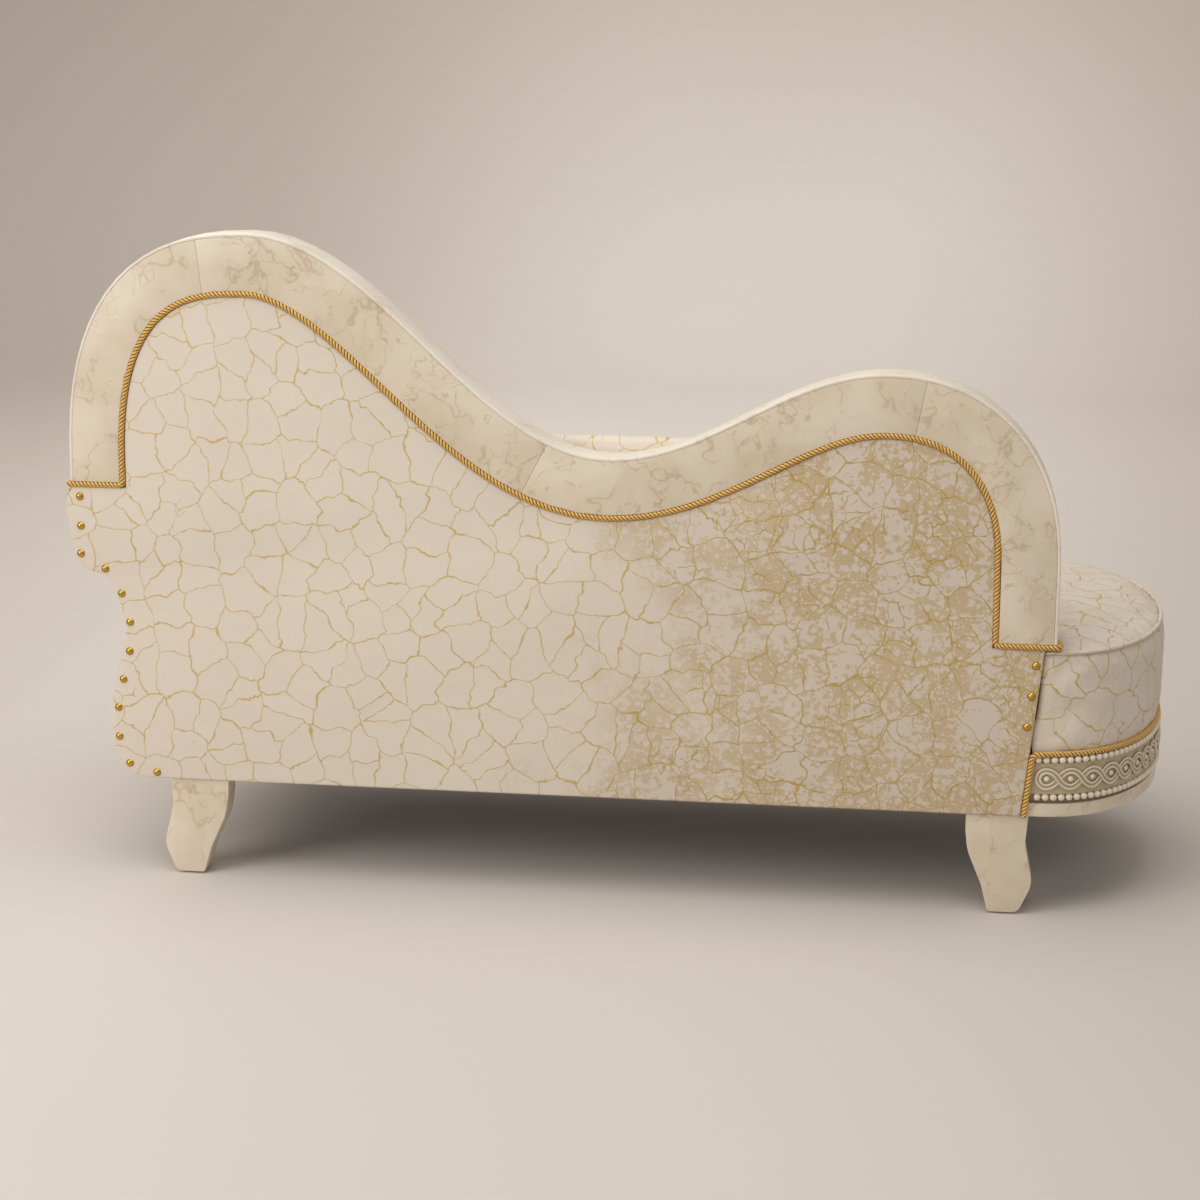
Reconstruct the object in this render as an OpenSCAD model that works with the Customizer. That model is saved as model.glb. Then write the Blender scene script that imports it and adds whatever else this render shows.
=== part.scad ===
// Fainting couch with a double-hump back, a scrolled arm and a rounded foot end.
// Head end towards +X, outside back towards +Y, floor at z = 0.

/* [Overall] */
// Length from the rounded foot end to the arm's scroll
couch_len = 1688; // [1560:1:1800]
// Depth from the front moulding to the outside back
couch_depth = 620; // [580:1:680]
// Height of the crest over the head
head_h = 1010; // [960:1:1060]
// Height of the crest at its dip
dip_h = 685; // [665:1:705]
// Height of the crest over the foot
foot_h = 820; // [790:1:850]

/* [Back] */
// How far the rounded foot end runs past the back
end_reach = 171; // [155:1:185]
// How far the arm's scroll stands out past the back
arm_reach = 12; // [8:1:18]
// From the back's foot side to the crown of the low hump
foot_crown_in = 258; // [240:1:280]
// From the back's foot side to the lowest point of the dip
dip_in = 668; // [640:1:700]
// From the back's head side to the crown of the high hump
head_crown_in = 288; // [270:1:310]
// Height of the crest facing's end at the foot side
foot_facing_h = 424; // [418:1:440]
// Height of the crest facing's end at the head side
head_facing_h = 628; // [615:1:632]
// How far the crest's foot side runs straight up from the facing's end
foot_straight = 116; // [100:1:130]
// How far the crest's head side runs straight up from the facing's end
head_straight = 12; // [5:1:25]
// Width of the crest facing
band_w = 86; // [78:1:92]
// Width of the crest facing along its head side
side_w = 78; // [72:1:86]
// Thickness of the crest facing
facing_t = 10; // [8:1:12]
// Thickness of the band along the top of the crest
edge_t = 5; // [4:0.5:6]
// Thickness of the back board
board_t = 18; // [15:1:20]
// Thickness of the timber frame inside the back
core_t = 30; // [26:1:34]
// Width of the crest rail inside the back
crest_rail_w = 44; // [38:1:50]
// Thickness of the padding on the inside back
pad_t = 76; // [70:1:84]
// How far the padding stays below the crest
pad_drop = 24; // [20:1:30]
// Height of the padding across the dip
pad_dip_h = 706; // [700:1:716]
// Depth of the tufts
tuft_d = 24; // [16:1:28]
// Distance between two tufts in a row
tuft_w = 148; // [130:1:170]
// Distance between two rows with the same tufts
tuft_h = 124; // [110:1:140]
// Radius of a covered button
button_r = 11; // [9:0.5:12]

/* [Arm] */
// How far the top of the scroll stands over the facing's end
arm_over = 24; // [16:1:32]
// Width of the scroll over the neck, seen from the end
scroll_w = 83; // [76:1:90]
// Thickness of the arm at its neck
neck_t = 84; // [76:1:92]
// Thickness of the arm's front facing
arm_facing_t = 12; // [10:1:14]

/* [Seat] */
// Height of the seat at its piping
seat_h = 410; // [400:1:420]
// Rise of the seat's crown over its piping
crown_h = 26; // [20:1:32]
// Thickness of the seat's side band
border_t = 5; // [4:0.5:6]
// Diameter of the piping
piping_d = 7; // [6:0.5:8]
// Height of the seat frame over the floor
leg_h = 157; // [150:1:166]
// Width of the rounded end's curve along the couch
end_curve = 189; // [175:1:200]

/* [Base moulding] */
// Height of the plinth strip
plinth_h = 21; // [18:1:24]
// Height of the shadow gap over the plinth strip
shadow_h = 5; // [4:0.5:6]
// Height of the carved moulding
moulding_h = 68; // [64:1:72]
// Thickness of the carved moulding
moulding_t = 12; // [11:0.5:14]
// Diameter of a bead
bead_d = 9.2; // [8.6:0.1:9.6]
// Distance between two beads
bead_pitch = 12; // [11:0.25:14]
// Distance between two bosses of the interlaced bands
knot_pitch = 36; // [34:0.5:40]
// Height of the interlaced bands' wave over its middle
knot_h = 12.6; // [11.8:0.1:13.4]
// Half the width of one interlaced band
strand_w = 5; // [4.4:0.1:5.4]
// Thickness of one interlaced band
strand_t = 3.3; // [2.8:0.1:3.3]
// Radius of a boss
boss_r = 4.4; // [3.6:0.1:5]

/* [Rope and nails] */
// Diameter of the twisted rope
rope_d = 8; // [7:0.5:9]
// Radius of a nail's head
nail_r = 6.4; // [5.5:0.1:7]
// Rise of a nail's head
nail_rise = 4; // [3.4:0.1:4.6]
// Distance between two nails
nail_pitch = 47; // [43:1:49]

/* [Legs] */
// Width of a leg at its top
leg_w = 93; // [86:1:100]
// Thickness of a leg
leg_t = 40; // [36:1:44]
// How far the foot of a head leg is set out further than the foot of the others
leg_kick = 8; // [0:1:12]
// Height of a glide under a leg
glide_h = 3; // [2:0.5:4]
// Radius of a glide
glide_r = 12; // [10:0.5:14]

/* [Frame] */
// Thickness of the seat rails
rail_t = 28; // [24:1:30]
// Thickness of the webbing
web_t = 2; // [1.5:0.25:2.5]
// Width of the webbing
web_w = 52; // [46:1:56]
// Thickness of the cloth over the webbing and under the frame
cloth_t = 1.5; // [1:0.25:2]
// Thickness of the arm's timber formers
former_t = 18; // [15:1:20]
// Radius of the bolts that hold the legs
bolt_r = 4; // [3:0.5:5]

/* [Hidden] */

marble = [0.85, 0.80, 0.72];
marble_edge = [0.91, 0.88, 0.82];
cloth = [0.86, 0.82, 0.77];
gold = [0.78, 0.57, 0.24];
carved = [0.80, 0.76, 0.68];
timber = [0.72, 0.56, 0.38];
brass = [0.78, 0.59, 0.16];
black_cloth = [0.15, 0.15, 0.15];
foam = [0.93, 0.88, 0.70];
jute = [0.66, 0.53, 0.33];

// Small clearance between pieces that sit in each other
fit = 0.2;
// Overrun of a cut past a face
cut = 1;
round_fn = 24;

// Main planes and heights
foot_shoulder_h = foot_facing_h + foot_straight;
head_shoulder_h = head_facing_h + head_straight;
arm_h = head_facing_h + arm_over;
proud = bead_d / 2;
rear_y = couch_depth / 2 - rope_d / 4;
rope_y = rear_y - rope_d / 4;
front_y = -couch_depth / 2 + proud;
foot_x = -couch_len / 2 + proud;
scroll_x = couch_len / 2;
head_x = scroll_x - arm_reach;
back_foot_x = foot_x + end_reach;
board_y = rear_y - facing_t;
core_y = board_y - board_t;
pad_y = core_y - core_t;
pad_front_y = pad_y - pad_t;
rail_h = plinth_h + shadow_h + moulding_h;
rail_top = leg_h + rail_h;
deck_z = rail_top + 2 * web_t;
foam_z = deck_z + cloth_t;
neck_x = scroll_x - scroll_w;
arm_in_x = neck_x - neck_t;
rope_gap = rope_d + 2 * fit;
panel_foot_top_x = back_foot_x + 2.2 * rope_d;
panel_foot_low_x = panel_foot_top_x + 3.3 * rope_d;
end_x = foot_x + end_curve;
end_rear_y = rope_y - rope_d / 2 - fit;
end_mid_y = (end_rear_y + front_y) / 2;
end_half = (end_rear_y - front_y) / 2;

// Steps of the curved outlines, and sides of a rope
side_steps = 16;
wave_steps = 18;
corner_steps = 6;
end_steps = 56;
tube_sides = 8;

// Shape numbers of the rounded outlines, without a unit
foot_square_share = 2.2;
head_square_share = 2.5;
end_square_share = 2.1;

// Places where the crest facing is jointed, counted in steps along the outline
foot_joint_step = 1 + 14;
low_joint_step = 1 + side_steps + wave_steps + 3;
head_joint_step = 1 + side_steps + 2 * wave_steps + 2;
crest_last_step = 2 + 2 * side_steps + 2 * wave_steps;

// Corners of the arm's outer side: across the scroll, up the arm, corner radius along the arm
arm_side_share = [
  [1, 0.915, 0.13], [0.8, 0.712, 0.12], [0.22, 0.69, 0.05],
  [-0.14, 0.515, 0.36], [0.31, 0.221, 0.49], [0.16, 0, 0.16]
];
// Corners of a leg: across its top, up its height, corner radius up its height
leg_side_share = [
  [0, 1, 0], [0.04, 0.71, 0.38], [-0.10, 0.30, 0.25], [0.12, 0, 0.09],
  [0.61, 0, 0.03], [0.72, 0.27, 0.5], [0.96, 0.62, 0.55], [1, 0.82, 0.25], [1, 1, 0]
];
// Where the middle of a leg's foot lies across its top
foot_mid_share = 0.36;

// Plane geometry
function unit(v) = v / norm(v);
function ahead(v) = [-v[1], v[0]];
function mix(a, b, t) = a + (b - a) * t;
function reversed(list) = [for (i = [len(list) - 1 : -1 : 0]) list[i]];
function part_of(list, from, to) = [for (i = [from : to]) list[i]];
function direction(path, i) =
  unit(path[min(i + 1, len(path) - 1)] - path[max(i - 1, 0)]);
// A path moved sideways to its left, by the bisector of its two edges
function beside(path, d) = [
  for (i = [0 : len(path) - 1])
    let (
      a = unit(path[max(i, 1)] - path[max(i, 1) - 1]),
      b = unit(path[min(i, len(path) - 2) + 1] - path[min(i, len(path) - 2)]),
      n = unit(ahead(a) + ahead(b))
    )
    path[i] + n * d / max(n * ahead(a), 0.5)
];
// Corners [x, y, radius] turned into a path with tangent arcs
function rounded(c) = concat(
  [[c[0][0], c[0][1]]],
  [
    for (i = [1 : len(c) - 2])
      let (
        a = [c[i - 1][0], c[i - 1][1]],
        b = [c[i][0], c[i][1]],
        e = [c[i + 1][0], c[i + 1][1]],
        u = unit(a - b),
        w = unit(e - b),
        half = acos(min(1, max(-1, u * w))) / 2,
        reach = min(c[i][2] / tan(half), norm(a - b) / 2, norm(e - b) / 2),
        r = reach * tan(half),
        m = b + unit(u + w) * r / sin(half),
        p = b + u * reach - m,
        q = b + w * reach - m,
        from = atan2(p[1], p[0]),
        swing = atan2(p[0] * q[1] - p[1] * q[0], p * q)
      )
      for (k = [0 : corner_steps])
        let (t = from + swing * k / corner_steps)
        m + r * [cos(t), sin(t)]
  ],
  [[c[len(c) - 1][0], c[len(c) - 1][1]]]
);
// A quarter of a squared ellipse, from its side to its crown
function quarter(mid, half_w, rise, square) = [
  for (i = [0 : side_steps])
    let (t = 90 * i / side_steps)
    mid + [half_w * pow(cos(t), 2 / square), rise * pow(sin(t), 2 / square)]
];
// A half wave between two level points, without its first point
function wave(a, b) = [
  for (i = [1 : wave_steps])
    let (t = i / wave_steps)
    [mix(a[0], b[0], t), mix(a[1], b[1], (1 - cos(180 * t)) / 2)]
];

// Outline of the crest, from its foot side over both humps to its head side
foot_crown = [back_foot_x + foot_crown_in, foot_h];
dip = [back_foot_x + dip_in, dip_h];
head_crown = [head_x - head_crown_in, head_h];
crest = concat(
  [[back_foot_x, foot_facing_h]],
  quarter([foot_crown[0], foot_shoulder_h], -foot_crown_in, foot_h - foot_shoulder_h, foot_square_share),
  wave(foot_crown, dip),
  wave(dip, head_crown),
  part_of(
    reversed(quarter([head_crown[0], head_shoulder_h], head_crown_in, head_h - head_shoulder_h,
      head_square_share)),
    1, side_steps),
  [[head_x, head_facing_h]]
);
// The crest set in, and stretched towards the head side, where the facing is narrower
function side_in(d) = d - (band_w - side_w) * min(1, d / band_w);
function crest_in(d) =
  let (from = back_foot_x + d, stretch = (head_x - side_in(d) - from) / (head_x - d - from))
  [for (p = beside(crest, -d)) [from + (p[0] - from) * stretch, p[1]]];

// Outline of the arm's outer side, from the crest's head side down to the floor frame
arm_rise = head_facing_h - leg_h;
arm_side = rounded(concat(
  [[head_x, head_facing_h, 0]],
  [for (s = arm_side_share)
    [neck_x + s[0] * scroll_w, leg_h + s[1] * arm_rise, s[2] * arm_rise]],
  [[arm_in_x, leg_h, 0]]
));
function arm_side_in(d) = beside(arm_side, -d);
// The back seen from behind, with the crest and the arm's side each set in
function back_outline(crest_d, arm_d) = concat(
  crest_in(crest_d),
  [for (p = arm_side_in(arm_d)) [p[0], max(p[1], leg_h)]],
  [[panel_foot_low_x, leg_h], [panel_foot_top_x, foot_facing_h - fit]]
);
// The arm's cover seen from the front: under the belly, up the outer side, over the scroll, down inside
rail_end_x = arm_in_x + rail_t;
scroll_drop = arm_h - leg_h - arm_rise * arm_side_share[1][1];
arm_wrap = rounded(concat(
  [[rail_end_x + fit, leg_h, 0]],
  [for (s = reversed(arm_side_share))
    [neck_x + s[0] * scroll_w, leg_h + s[1] * arm_rise, s[2] * arm_rise]],
  [
    [scroll_x - fit, arm_h, scroll_drop / 2], [arm_in_x, arm_h, scroll_drop / 3],
    [arm_in_x, foam_z + fit, 0]
  ]
));
function arm_in(d) = beside(arm_wrap, d);

// Plan of the base, from behind the back round the foot end and along the front to the arm
function end_curve_points() = [
  for (i = [0 : end_steps])
    let (t = 90 + 180 * i / end_steps, c = cos(t), s = sin(t))
    [
      end_x - end_curve * pow(abs(c), 2 / end_square_share),
      end_mid_y + end_half * sign(s) * pow(abs(s), 2 / end_square_share)
    ]
];
plan = concat(
  [[panel_foot_low_x, end_rear_y]],
  end_curve_points(),
  [[arm_in_x - fit, front_y]]
);
function plan_in(d) = beside(plan, d);

// Distance along a plane path, and the point and outward normal there
function lengths(path, i = 0, sum = 0) =
  i >= len(path) - 1 ? [sum] : concat([sum], lengths(path, i + 1, sum + norm(path[i + 1] - path[i])));
plan_lengths = lengths(plan);
plan_length = plan_lengths[len(plan_lengths) - 1];
function step_at(s) = max([for (i = [0 : len(plan) - 2]) if (plan_lengths[i] <= s) i]);
function outward(i) = -ahead(direction(plan, i));
// A point on the base, s along it, out from its face and up
function on_base(s, out, z) =
  let (
    i = step_at(s),
    t = (s - plan_lengths[i]) / (plan_lengths[i + 1] - plan_lengths[i]),
    p = mix(plan[i], plan[i + 1], t),
    n = unit(mix(outward(i), outward(i + 1), t)),
    q = p + n * out
  )
  [q[0], q[1], z];

// Solids
// A plane outline seen from behind, cut from a sheet that starts a distance behind the rear plane
module sheet(from_y, thickness) {
  translate([0, from_y, 0]) rotate([90, 0, 0]) linear_extrude(thickness) children();
}
module layer(z, thickness) {
  translate([0, 0, z]) linear_extrude(thickness) children();
}
// A closed skin through rings of points; its ends are fans, or flat faces where a ring is hollow
module loft(rings, fan = true) {
  n = len(rings[0]);
  last = (len(rings) - 1) * n;
  sides = [
    for (i = [0 : len(rings) - 2])
      for (k = [0 : n - 1])
        let (a = i * n + k, b = i * n + (k + 1) % n)
        each [[a, b, b + n], [a, b + n, a + n]]
  ];
  ends = fan
    ? [for (k = [1 : n - 2]) each [[0, k + 1, k], [last, last + k, last + k + 1]]]
    : [[for (k = [n - 1 : -1 : 0]) k], [for (k = [0 : n - 1]) last + k]];
  polyhedron([for (r = rings) each r], concat(sides, ends));
}
// A round tube along a path of points in space, near the plane with the given normal
module tube(path, diameter, normal) {
  r = diameter / 2;
  loft([
    for (i = [0 : len(path) - 1])
      let (
        a = unit(path[min(i + 1, len(path) - 1)] - path[max(i - 1, 0)]),
        side = unit(cross(normal, a)),
        up = cross(a, side)
      )
      [for (k = [0 : tube_sides - 1])
        path[i] + r * (side * cos(360 * k / tube_sides) - up * sin(360 * k / tube_sides))]
  ]);
}
// The cap of a ball, on its flat face
module dome(r, rise) {
  ball_r = (r * r + rise * rise) / (2 * rise);
  intersection() {
    translate([0, 0, rise - ball_r]) sphere(ball_r, $fn = round_fn);
    cylinder(h = rise + cut, r = 2 * r, $fn = round_fn);
  }
}
module band(outer, inner) {
  polygon(concat(outer, reversed(inner)));
}

// Legs, their glides and bolts
// leg_places: outer top corner, direction of the inside, the leg's rear face, and its foot's extra set
leg_inset = 1.62 * leg_w;
leg_foot_x = back_foot_x + 4 * rope_d;
leg_head_x = scroll_x - leg_inset;
leg_rear_y = rear_y - rope_d;
leg_front_y = front_y + rope_d + leg_t;
leg_places = [
  [leg_head_x, -1, leg_rear_y, leg_kick], [leg_foot_x, 1, leg_rear_y, 0],
  [leg_head_x, -1, leg_front_y, leg_kick], [leg_foot_x, 1, leg_front_y, 0]
];
bolt_mid_share = 0.5;
function leg_x(p, across, up) = p[0] + p[1] * (across * leg_w - p[3] * (1 - up));
function bolt_point(p) = [
  leg_x(p, bolt_mid_share, 1),
  p[2] == leg_rear_y ? core_y - rail_t / 2 : front_y + moulding_t + rail_t / 2
];
module leg(p) {
  color(marble) difference() {
    sheet(p[2], leg_t)
      polygon(rounded([
        for (s = leg_side_share)
          [leg_x(p, s[0], s[1]), mix(glide_h, leg_h, s[1]), s[2] * leg_h]
      ]));
    translate([bolt_point(p)[0], bolt_point(p)[1], leg_h - bolt_len / 2])
      cylinder(h = bolt_len, r = bolt_r + fit, $fn = round_fn);
  }
}
bolt_len = 0.8 * rail_h;
module leg_rear_head() { leg(leg_places[0]); }
module leg_rear_foot() { leg(leg_places[1]); }
module leg_front_head() { leg(leg_places[2]); }
module leg_front_foot() { leg(leg_places[3]); }
module foot_glides() {
  color(timber) for (p = leg_places)
    translate([leg_x(p, foot_mid_share, 0), p[2] - leg_t / 2, 0])
      cylinder(h = glide_h, r = glide_r, $fn = round_fn);
}
module bolts(extra, reach) {
  for (p = leg_places)
    translate([bolt_point(p)[0], bolt_point(p)[1], leg_h - reach])
      cylinder(h = 2 * reach, r = bolt_r + extra, $fn = round_fn);
}
module leg_bolts() { color(brass) bolts(0, bolt_len / 2); }

// Seat frame
rail_y = core_y - rail_t;
front_rail_y = front_y + moulding_t + rail_t;
module rail(x0, x1, y0, y1) {
  translate([x0, y0, leg_h]) cube([x1 - x0, y1 - y0, rail_h]);
}
module rail_rear() {
  color(timber) difference() {
    rail(panel_foot_low_x + fit, rail_end_x, rail_y, core_y);
    bolts(fit, bolt_len / 2 + fit);
  }
}
module rail_front() {
  color(timber) difference() {
    rail(end_x + cut, rail_end_x, front_y + moulding_t, front_rail_y);
    bolts(fit, bolt_len / 2 + fit);
  }
}
module rail_head() {
  color(timber) rail(arm_in_x, rail_end_x, front_rail_y, rail_y);
}
// The rounded end's rail is built up from three curved blocks, jointed at these steps of its curve
end_joint_steps = [0, 20, 38, 1 + end_steps];
// The panel's foot edge leans, and what meets it is cut along it
function foot_edge_x(z) =
  mix(panel_foot_low_x, panel_foot_top_x, (z - leg_h) / (foot_facing_h - rope_gap - leg_h));
module clear_of_back() {
  difference() {
    children();
    sheet(rear_y + cut, rear_y + cut - core_y + fit) polygon([
      [foot_edge_x(leg_h - cut) - fit, leg_h - cut], [foot_edge_x(foot_facing_h) - fit, foot_facing_h],
      [panel_foot_low_x + cut, foot_facing_h], [panel_foot_low_x + cut, leg_h - cut]
    ]);
  }
}
module end_rail(i) {
  from = end_joint_steps[i];
  to = end_joint_steps[i + 1];
  color(timber) clear_of_back() layer(leg_h, rail_h)
    band(part_of(plan_in(moulding_t), from, to), part_of(plan_in(moulding_t + rail_t), from, to));
}
module end_rail_rear() { end_rail(0); }
module end_rail_mid() { end_rail(1); }
module end_rail_front() { end_rail(2); }
cross_count = 4;
function cross_x(i) = mix(panel_foot_low_x + rail_t, arm_in_x - rail_t, (i + 1) / (cross_count + 1));
module cross_rails() {
  color(timber) for (i = [0 : cross_count - 1])
    rail(cross_x(i) - rail_t / 2, cross_x(i) + rail_t / 2, front_rail_y, rail_y);
}
block_w = 2.2 * rail_t;
module corner_block(x, y, dx, dy) {
  layer(leg_h, rail_h)
    polygon([[x, y], [x + dx * block_w, y], [x, y + dy * block_w]]);
}
module corner_blocks() {
  color(timber) {
    corner_block(arm_in_x, rail_y, -1, -1);
    corner_block(arm_in_x, front_rail_y, -1, 1);
  }
}
web_count = 9;
long_count = 3;
web_from_x = end_x + web_w;
web_to_x = arm_in_x - web_w;
function web_x(i) = mix(web_from_x, web_to_x, i / (web_count - 1));
module webbing_cross() {
  color(jute) for (i = [0 : web_count - 1])
    translate([web_x(i) - web_w / 2, front_rail_y - rail_t / 2, rail_top])
      cube([web_w, rail_y + rail_t - front_rail_y, web_t]);
}
function long_y(i) = mix(front_rail_y, rail_y, (i + 1) / (long_count + 1));
module webbing_long() {
  color(jute) for (i = [0 : long_count - 1])
    translate([web_from_x - web_w / 2, long_y(i) - web_w / 2, rail_top + web_t])
      cube([web_to_x - web_from_x + web_w, web_w, web_t]);
}
// Plan of the seat in front of the padding, set in from the base's face
function seat_plan(d) = concat(
  [[panel_foot_top_x - fit, end_rear_y - d - fit]],
  [for (p = plan_in(d)) if (p[0] < panel_foot_top_x - cut && p[1] > end_mid_y) p],
  [for (p = plan_in(d)) if (p[1] <= end_mid_y) p],
  [
    [arm_in_x - fit, pad_front_y - fit],
    [panel_foot_top_x - fit, pad_front_y - fit]
  ]
);
module deck_cloth() {
  color(jute) layer(deck_z, cloth_t) polygon(seat_plan(moulding_t + rail_t / 2));
}
module dust_cover() {
  color(black_cloth) difference() {
    layer(leg_h - cloth_t, cloth_t) polygon(concat(
      plan_in(moulding_t + fit), [[rail_end_x, front_rail_y - rail_t], [rail_end_x, rail_y + rail_t / 2],
        [panel_foot_low_x, rail_y + rail_t / 2]]
    ));
    for (p = leg_places)
      translate([min(p[0], p[0] + p[1] * leg_w) - fit, p[2] - leg_t - fit, leg_h - 2 * cloth_t])
        cube([leg_w + 2 * fit, leg_t + 2 * fit, 3 * cloth_t]);
  }
}

// Seat
border_z = rail_top + rope_d + 2 * fit;
foam_top = seat_h - piping_d;
module seat_foam() {
  color(foam) layer(foam_z, foam_top - foam_z) polygon(seat_plan(border_t + fit));
}
module seat_border() {
  color(cloth) clear_of_back() layer(border_z, seat_h - piping_d / 2 - border_z)
    band(plan_in(0), plan_in(border_t));
}
// The cover is drawn up from its edge to a soft crown along the seat's middle line
cover_rings_share = [0, 0.06, 0.16, 0.32, 0.55, 0.82];
function spine(p) = [
  min(max(p[0], end_x), arm_in_x - end_curve / 2), (front_y + pad_front_y) / 2
];
function cover_ring(t, z) = [
  for (p = seat_plan(border_t + piping_d))
    let (q = mix(p, spine(p), t))
    [q[0], q[1], z]
];
module seat_cover() {
  color(cloth) loft(concat(
    [for (t = reversed(cover_rings_share)) cover_ring(t, seat_h + crown_h * (1 - pow(1 - t, 3)))],
    [cover_ring(0, foam_top)]
  ), false);
}
module seat_piping() {
  line = plan_in(piping_d / 2);
  color(cloth) tube(
    concat(
      [[panel_foot_top_x - fit, line[0][1], seat_h]],
      [for (p = line) if (p[0] < panel_foot_top_x - cut || p[1] < end_mid_y) [p[0], p[1], seat_h]]
    ),
    piping_d, [0, 0, 1]);
}

// Base moulding
plinth_top = leg_h + plinth_h;
moulding_z = plinth_top + shadow_h;
bead_low_z = moulding_z + proud + 2 * fit;
bead_up_z = moulding_z + moulding_h - proud - 2 * fit;
knot_z = (bead_low_z + bead_up_z) / 2;
module wall_strip(z, h, out_d, in_d) {
  layer(z, h) band(plan_in(out_d), plan_in(in_d));
}
module plinth_strip() {
  color(marble) clear_of_back() {
    wall_strip(leg_h, plinth_h, 0, moulding_t);
    wall_strip(plinth_top, shadow_h, proud, moulding_t);
  }
}
module moulding_ground() {
  color(carved) clear_of_back() difference() {
    wall_strip(moulding_z, moulding_h, 0, moulding_t);
    for (z = [bead_low_z, bead_up_z])
      wall_strip(z - proud - fit, bead_d + 2 * fit, -cut, proud + fit);
  }
}
// The rope stands in the corner between the panel's foot edge and the moulding
rope_z = rail_top + rope_d / 2 + fit;
function corner_rope_x(z) = foot_edge_x(z) - rope_d / 2 - 2 * fit;
bead_from = panel_foot_low_x - corner_rope_x(rope_z) + rope_d / 2 + proud + fit;
bead_count = floor((plan_length - bead_from - bead_pitch) / bead_pitch);
module bead_row(z) {
  color(carved) for (i = [0 : bead_count])
    translate(on_base(bead_from + i * bead_pitch, 0, z)) sphere(d = bead_d, $fn = round_fn / 2 + 4);
}
module bead_row_upper() { bead_row(bead_up_z); }
module bead_row_lower() { bead_row(bead_low_z); }
// Two strands that start in a loop and pass over and under each other, with a boss in each eye
knot_from = bead_from + knot_h + strand_w - proud;
knot_count = floor((plan_length - knot_from) / knot_pitch - 0.5);
knot_steps = 6;
loop_steps = 4;
// Across a strand: a ridge along each side and a groove between them
strand_profile_share = [[-1, 0], [-0.66, 1], [0, 0.62], [0.66, 1], [1, 0]];
// Middle line of a strand as [along the base, height, rise]
function strand_point(i, flip) =
  i < 0
  ? let (t = max(90 * (1 + i / loop_steps), 180 / PI * fit / knot_h))
    [knot_from - knot_h * cos(t), knot_z + flip * knot_h * sin(t), strand_t]
  : let (turn = 180 * i / knot_steps, c = cos(turn))
    [knot_from + i * knot_pitch / knot_steps, knot_z + flip * knot_h * sign(c) * pow(abs(c), 0.8),
      strand_t * (1 + 0.3 * flip * sin(turn))];
function strand_ring(i, flip) =
  let (
    p = strand_point(i, flip),
    a = i == -loop_steps ? p : strand_point(i - 1, flip),
    b = i == -loop_steps ? p + [0, flip, 0] : strand_point(i + 1, flip),
    d = unit([b[0] - a[0], b[1] - a[1]])
  )
  [for (q = strand_profile_share)
    on_base(p[0] - q[0] * strand_w * d[1], fit * (1.25 + flip / 4) + q[1] * p[2],
      p[1] + q[0] * strand_w * d[0])];
module strand(flip) {
  loft([for (i = [-loop_steps : knot_count * knot_steps]) strand_ring(i, flip)]);
}
module guilloche_bands() {
  color(carved) {
    strand(1);
    strand(-1);
  }
}
module guilloche_bosses() {
  color(carved) for (i = [0 : knot_count])
    let (s = knot_from + i * knot_pitch, n = on_base(s, cut, knot_z) - on_base(s, 0, knot_z))
    translate(on_base(s, fit, knot_z)) rotate([0, 90, atan2(n[1], n[0])]) dome(boss_r, strand_t);
}
// The rope comes up the panel's foot edge and turns along the top of the moulding
corner_rope = rounded([
  [corner_rope_x(leg_h), leg_h + fit, 0], [corner_rope_x(rope_z), rope_z, rope_d],
  [corner_rope_x(rope_z) - 2 * rope_d, rope_z, 0]
]);
end_rope_line = concat(
  [for (p = corner_rope) [p[0], rope_y, p[1]]],
  [for (p = plan_in(rope_d / 8)) if (p[0] < corner_rope_x(rope_z) - 4 * rope_d || p[1] < end_mid_y)
    [p[0], p[1], rope_z]]
);
module end_rope() { color(gold) tube(end_rope_line, rope_d, [1, 1, 1]); }

// Back
module back_board() {
  color(timber) difference() {
    sheet(board_y, board_t) polygon(back_outline(edge_t, rope_d * 0.7));
    nail_holes();
  }
}
module crest_rail(from, to) {
  color(timber) sheet(core_y, core_t)
    band(part_of(crest_in(edge_t), from, to), part_of(crest_in(edge_t + crest_rail_w), from, to));
}
module crest_rail_foot() { crest_rail(0, foot_joint_step + 4); }
module crest_rail_mid() { crest_rail(foot_joint_step + 4, low_joint_step + 2); }
module crest_rail_head() { crest_rail(low_joint_step + 2, crest_last_step); }
post_w = 1.6 * core_t;
// Height of a path over a place across the couch
function height_at(path, x) =
  let (i = max([0, for (k = [0 : len(path) - 2]) if ((path[k][0] - x) * (path[k + 1][0] - x) <= 0) k]))
  mix(path[i][1], path[i + 1][1], (x - path[i][0]) / (path[i + 1][0] - path[i][0]));
function crest_low(x, d) =
  min([for (t = [-0.5, 0, 0.5]) height_at(crest_in(d), x + t * post_w)]);
// Places of the posts, counted in strips of webbing so that they stand between two strips
post_places = [1.5, 4.5, 6.5];
module back_posts() {
  color(timber) for (i = post_places)
    let (x = web_x(i))
    translate([x - post_w / 2, pad_y, rail_top])
      cube([post_w, core_t, crest_low(x, edge_t + crest_rail_w) - rail_top - fit]);
}
module back_hessian() {
  color(jute) sheet(pad_y, cloth_t) polygon(concat(
    crest_in(pad_drop * 1.5),
    [[arm_in_x, head_facing_h], [arm_in_x, deck_z], [panel_foot_top_x, deck_z],
      [panel_foot_top_x, foot_facing_h]]
  ));
}
module crest_facing(from, to) {
  color(marble) sheet(rear_y, facing_t)
    band(part_of(crest_in(edge_t), from, to), part_of(crest_in(band_w), from, to));
}
module crest_facing_foot() { crest_facing(0, foot_joint_step); }
module crest_facing_low() { crest_facing(foot_joint_step, low_joint_step); }
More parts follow.
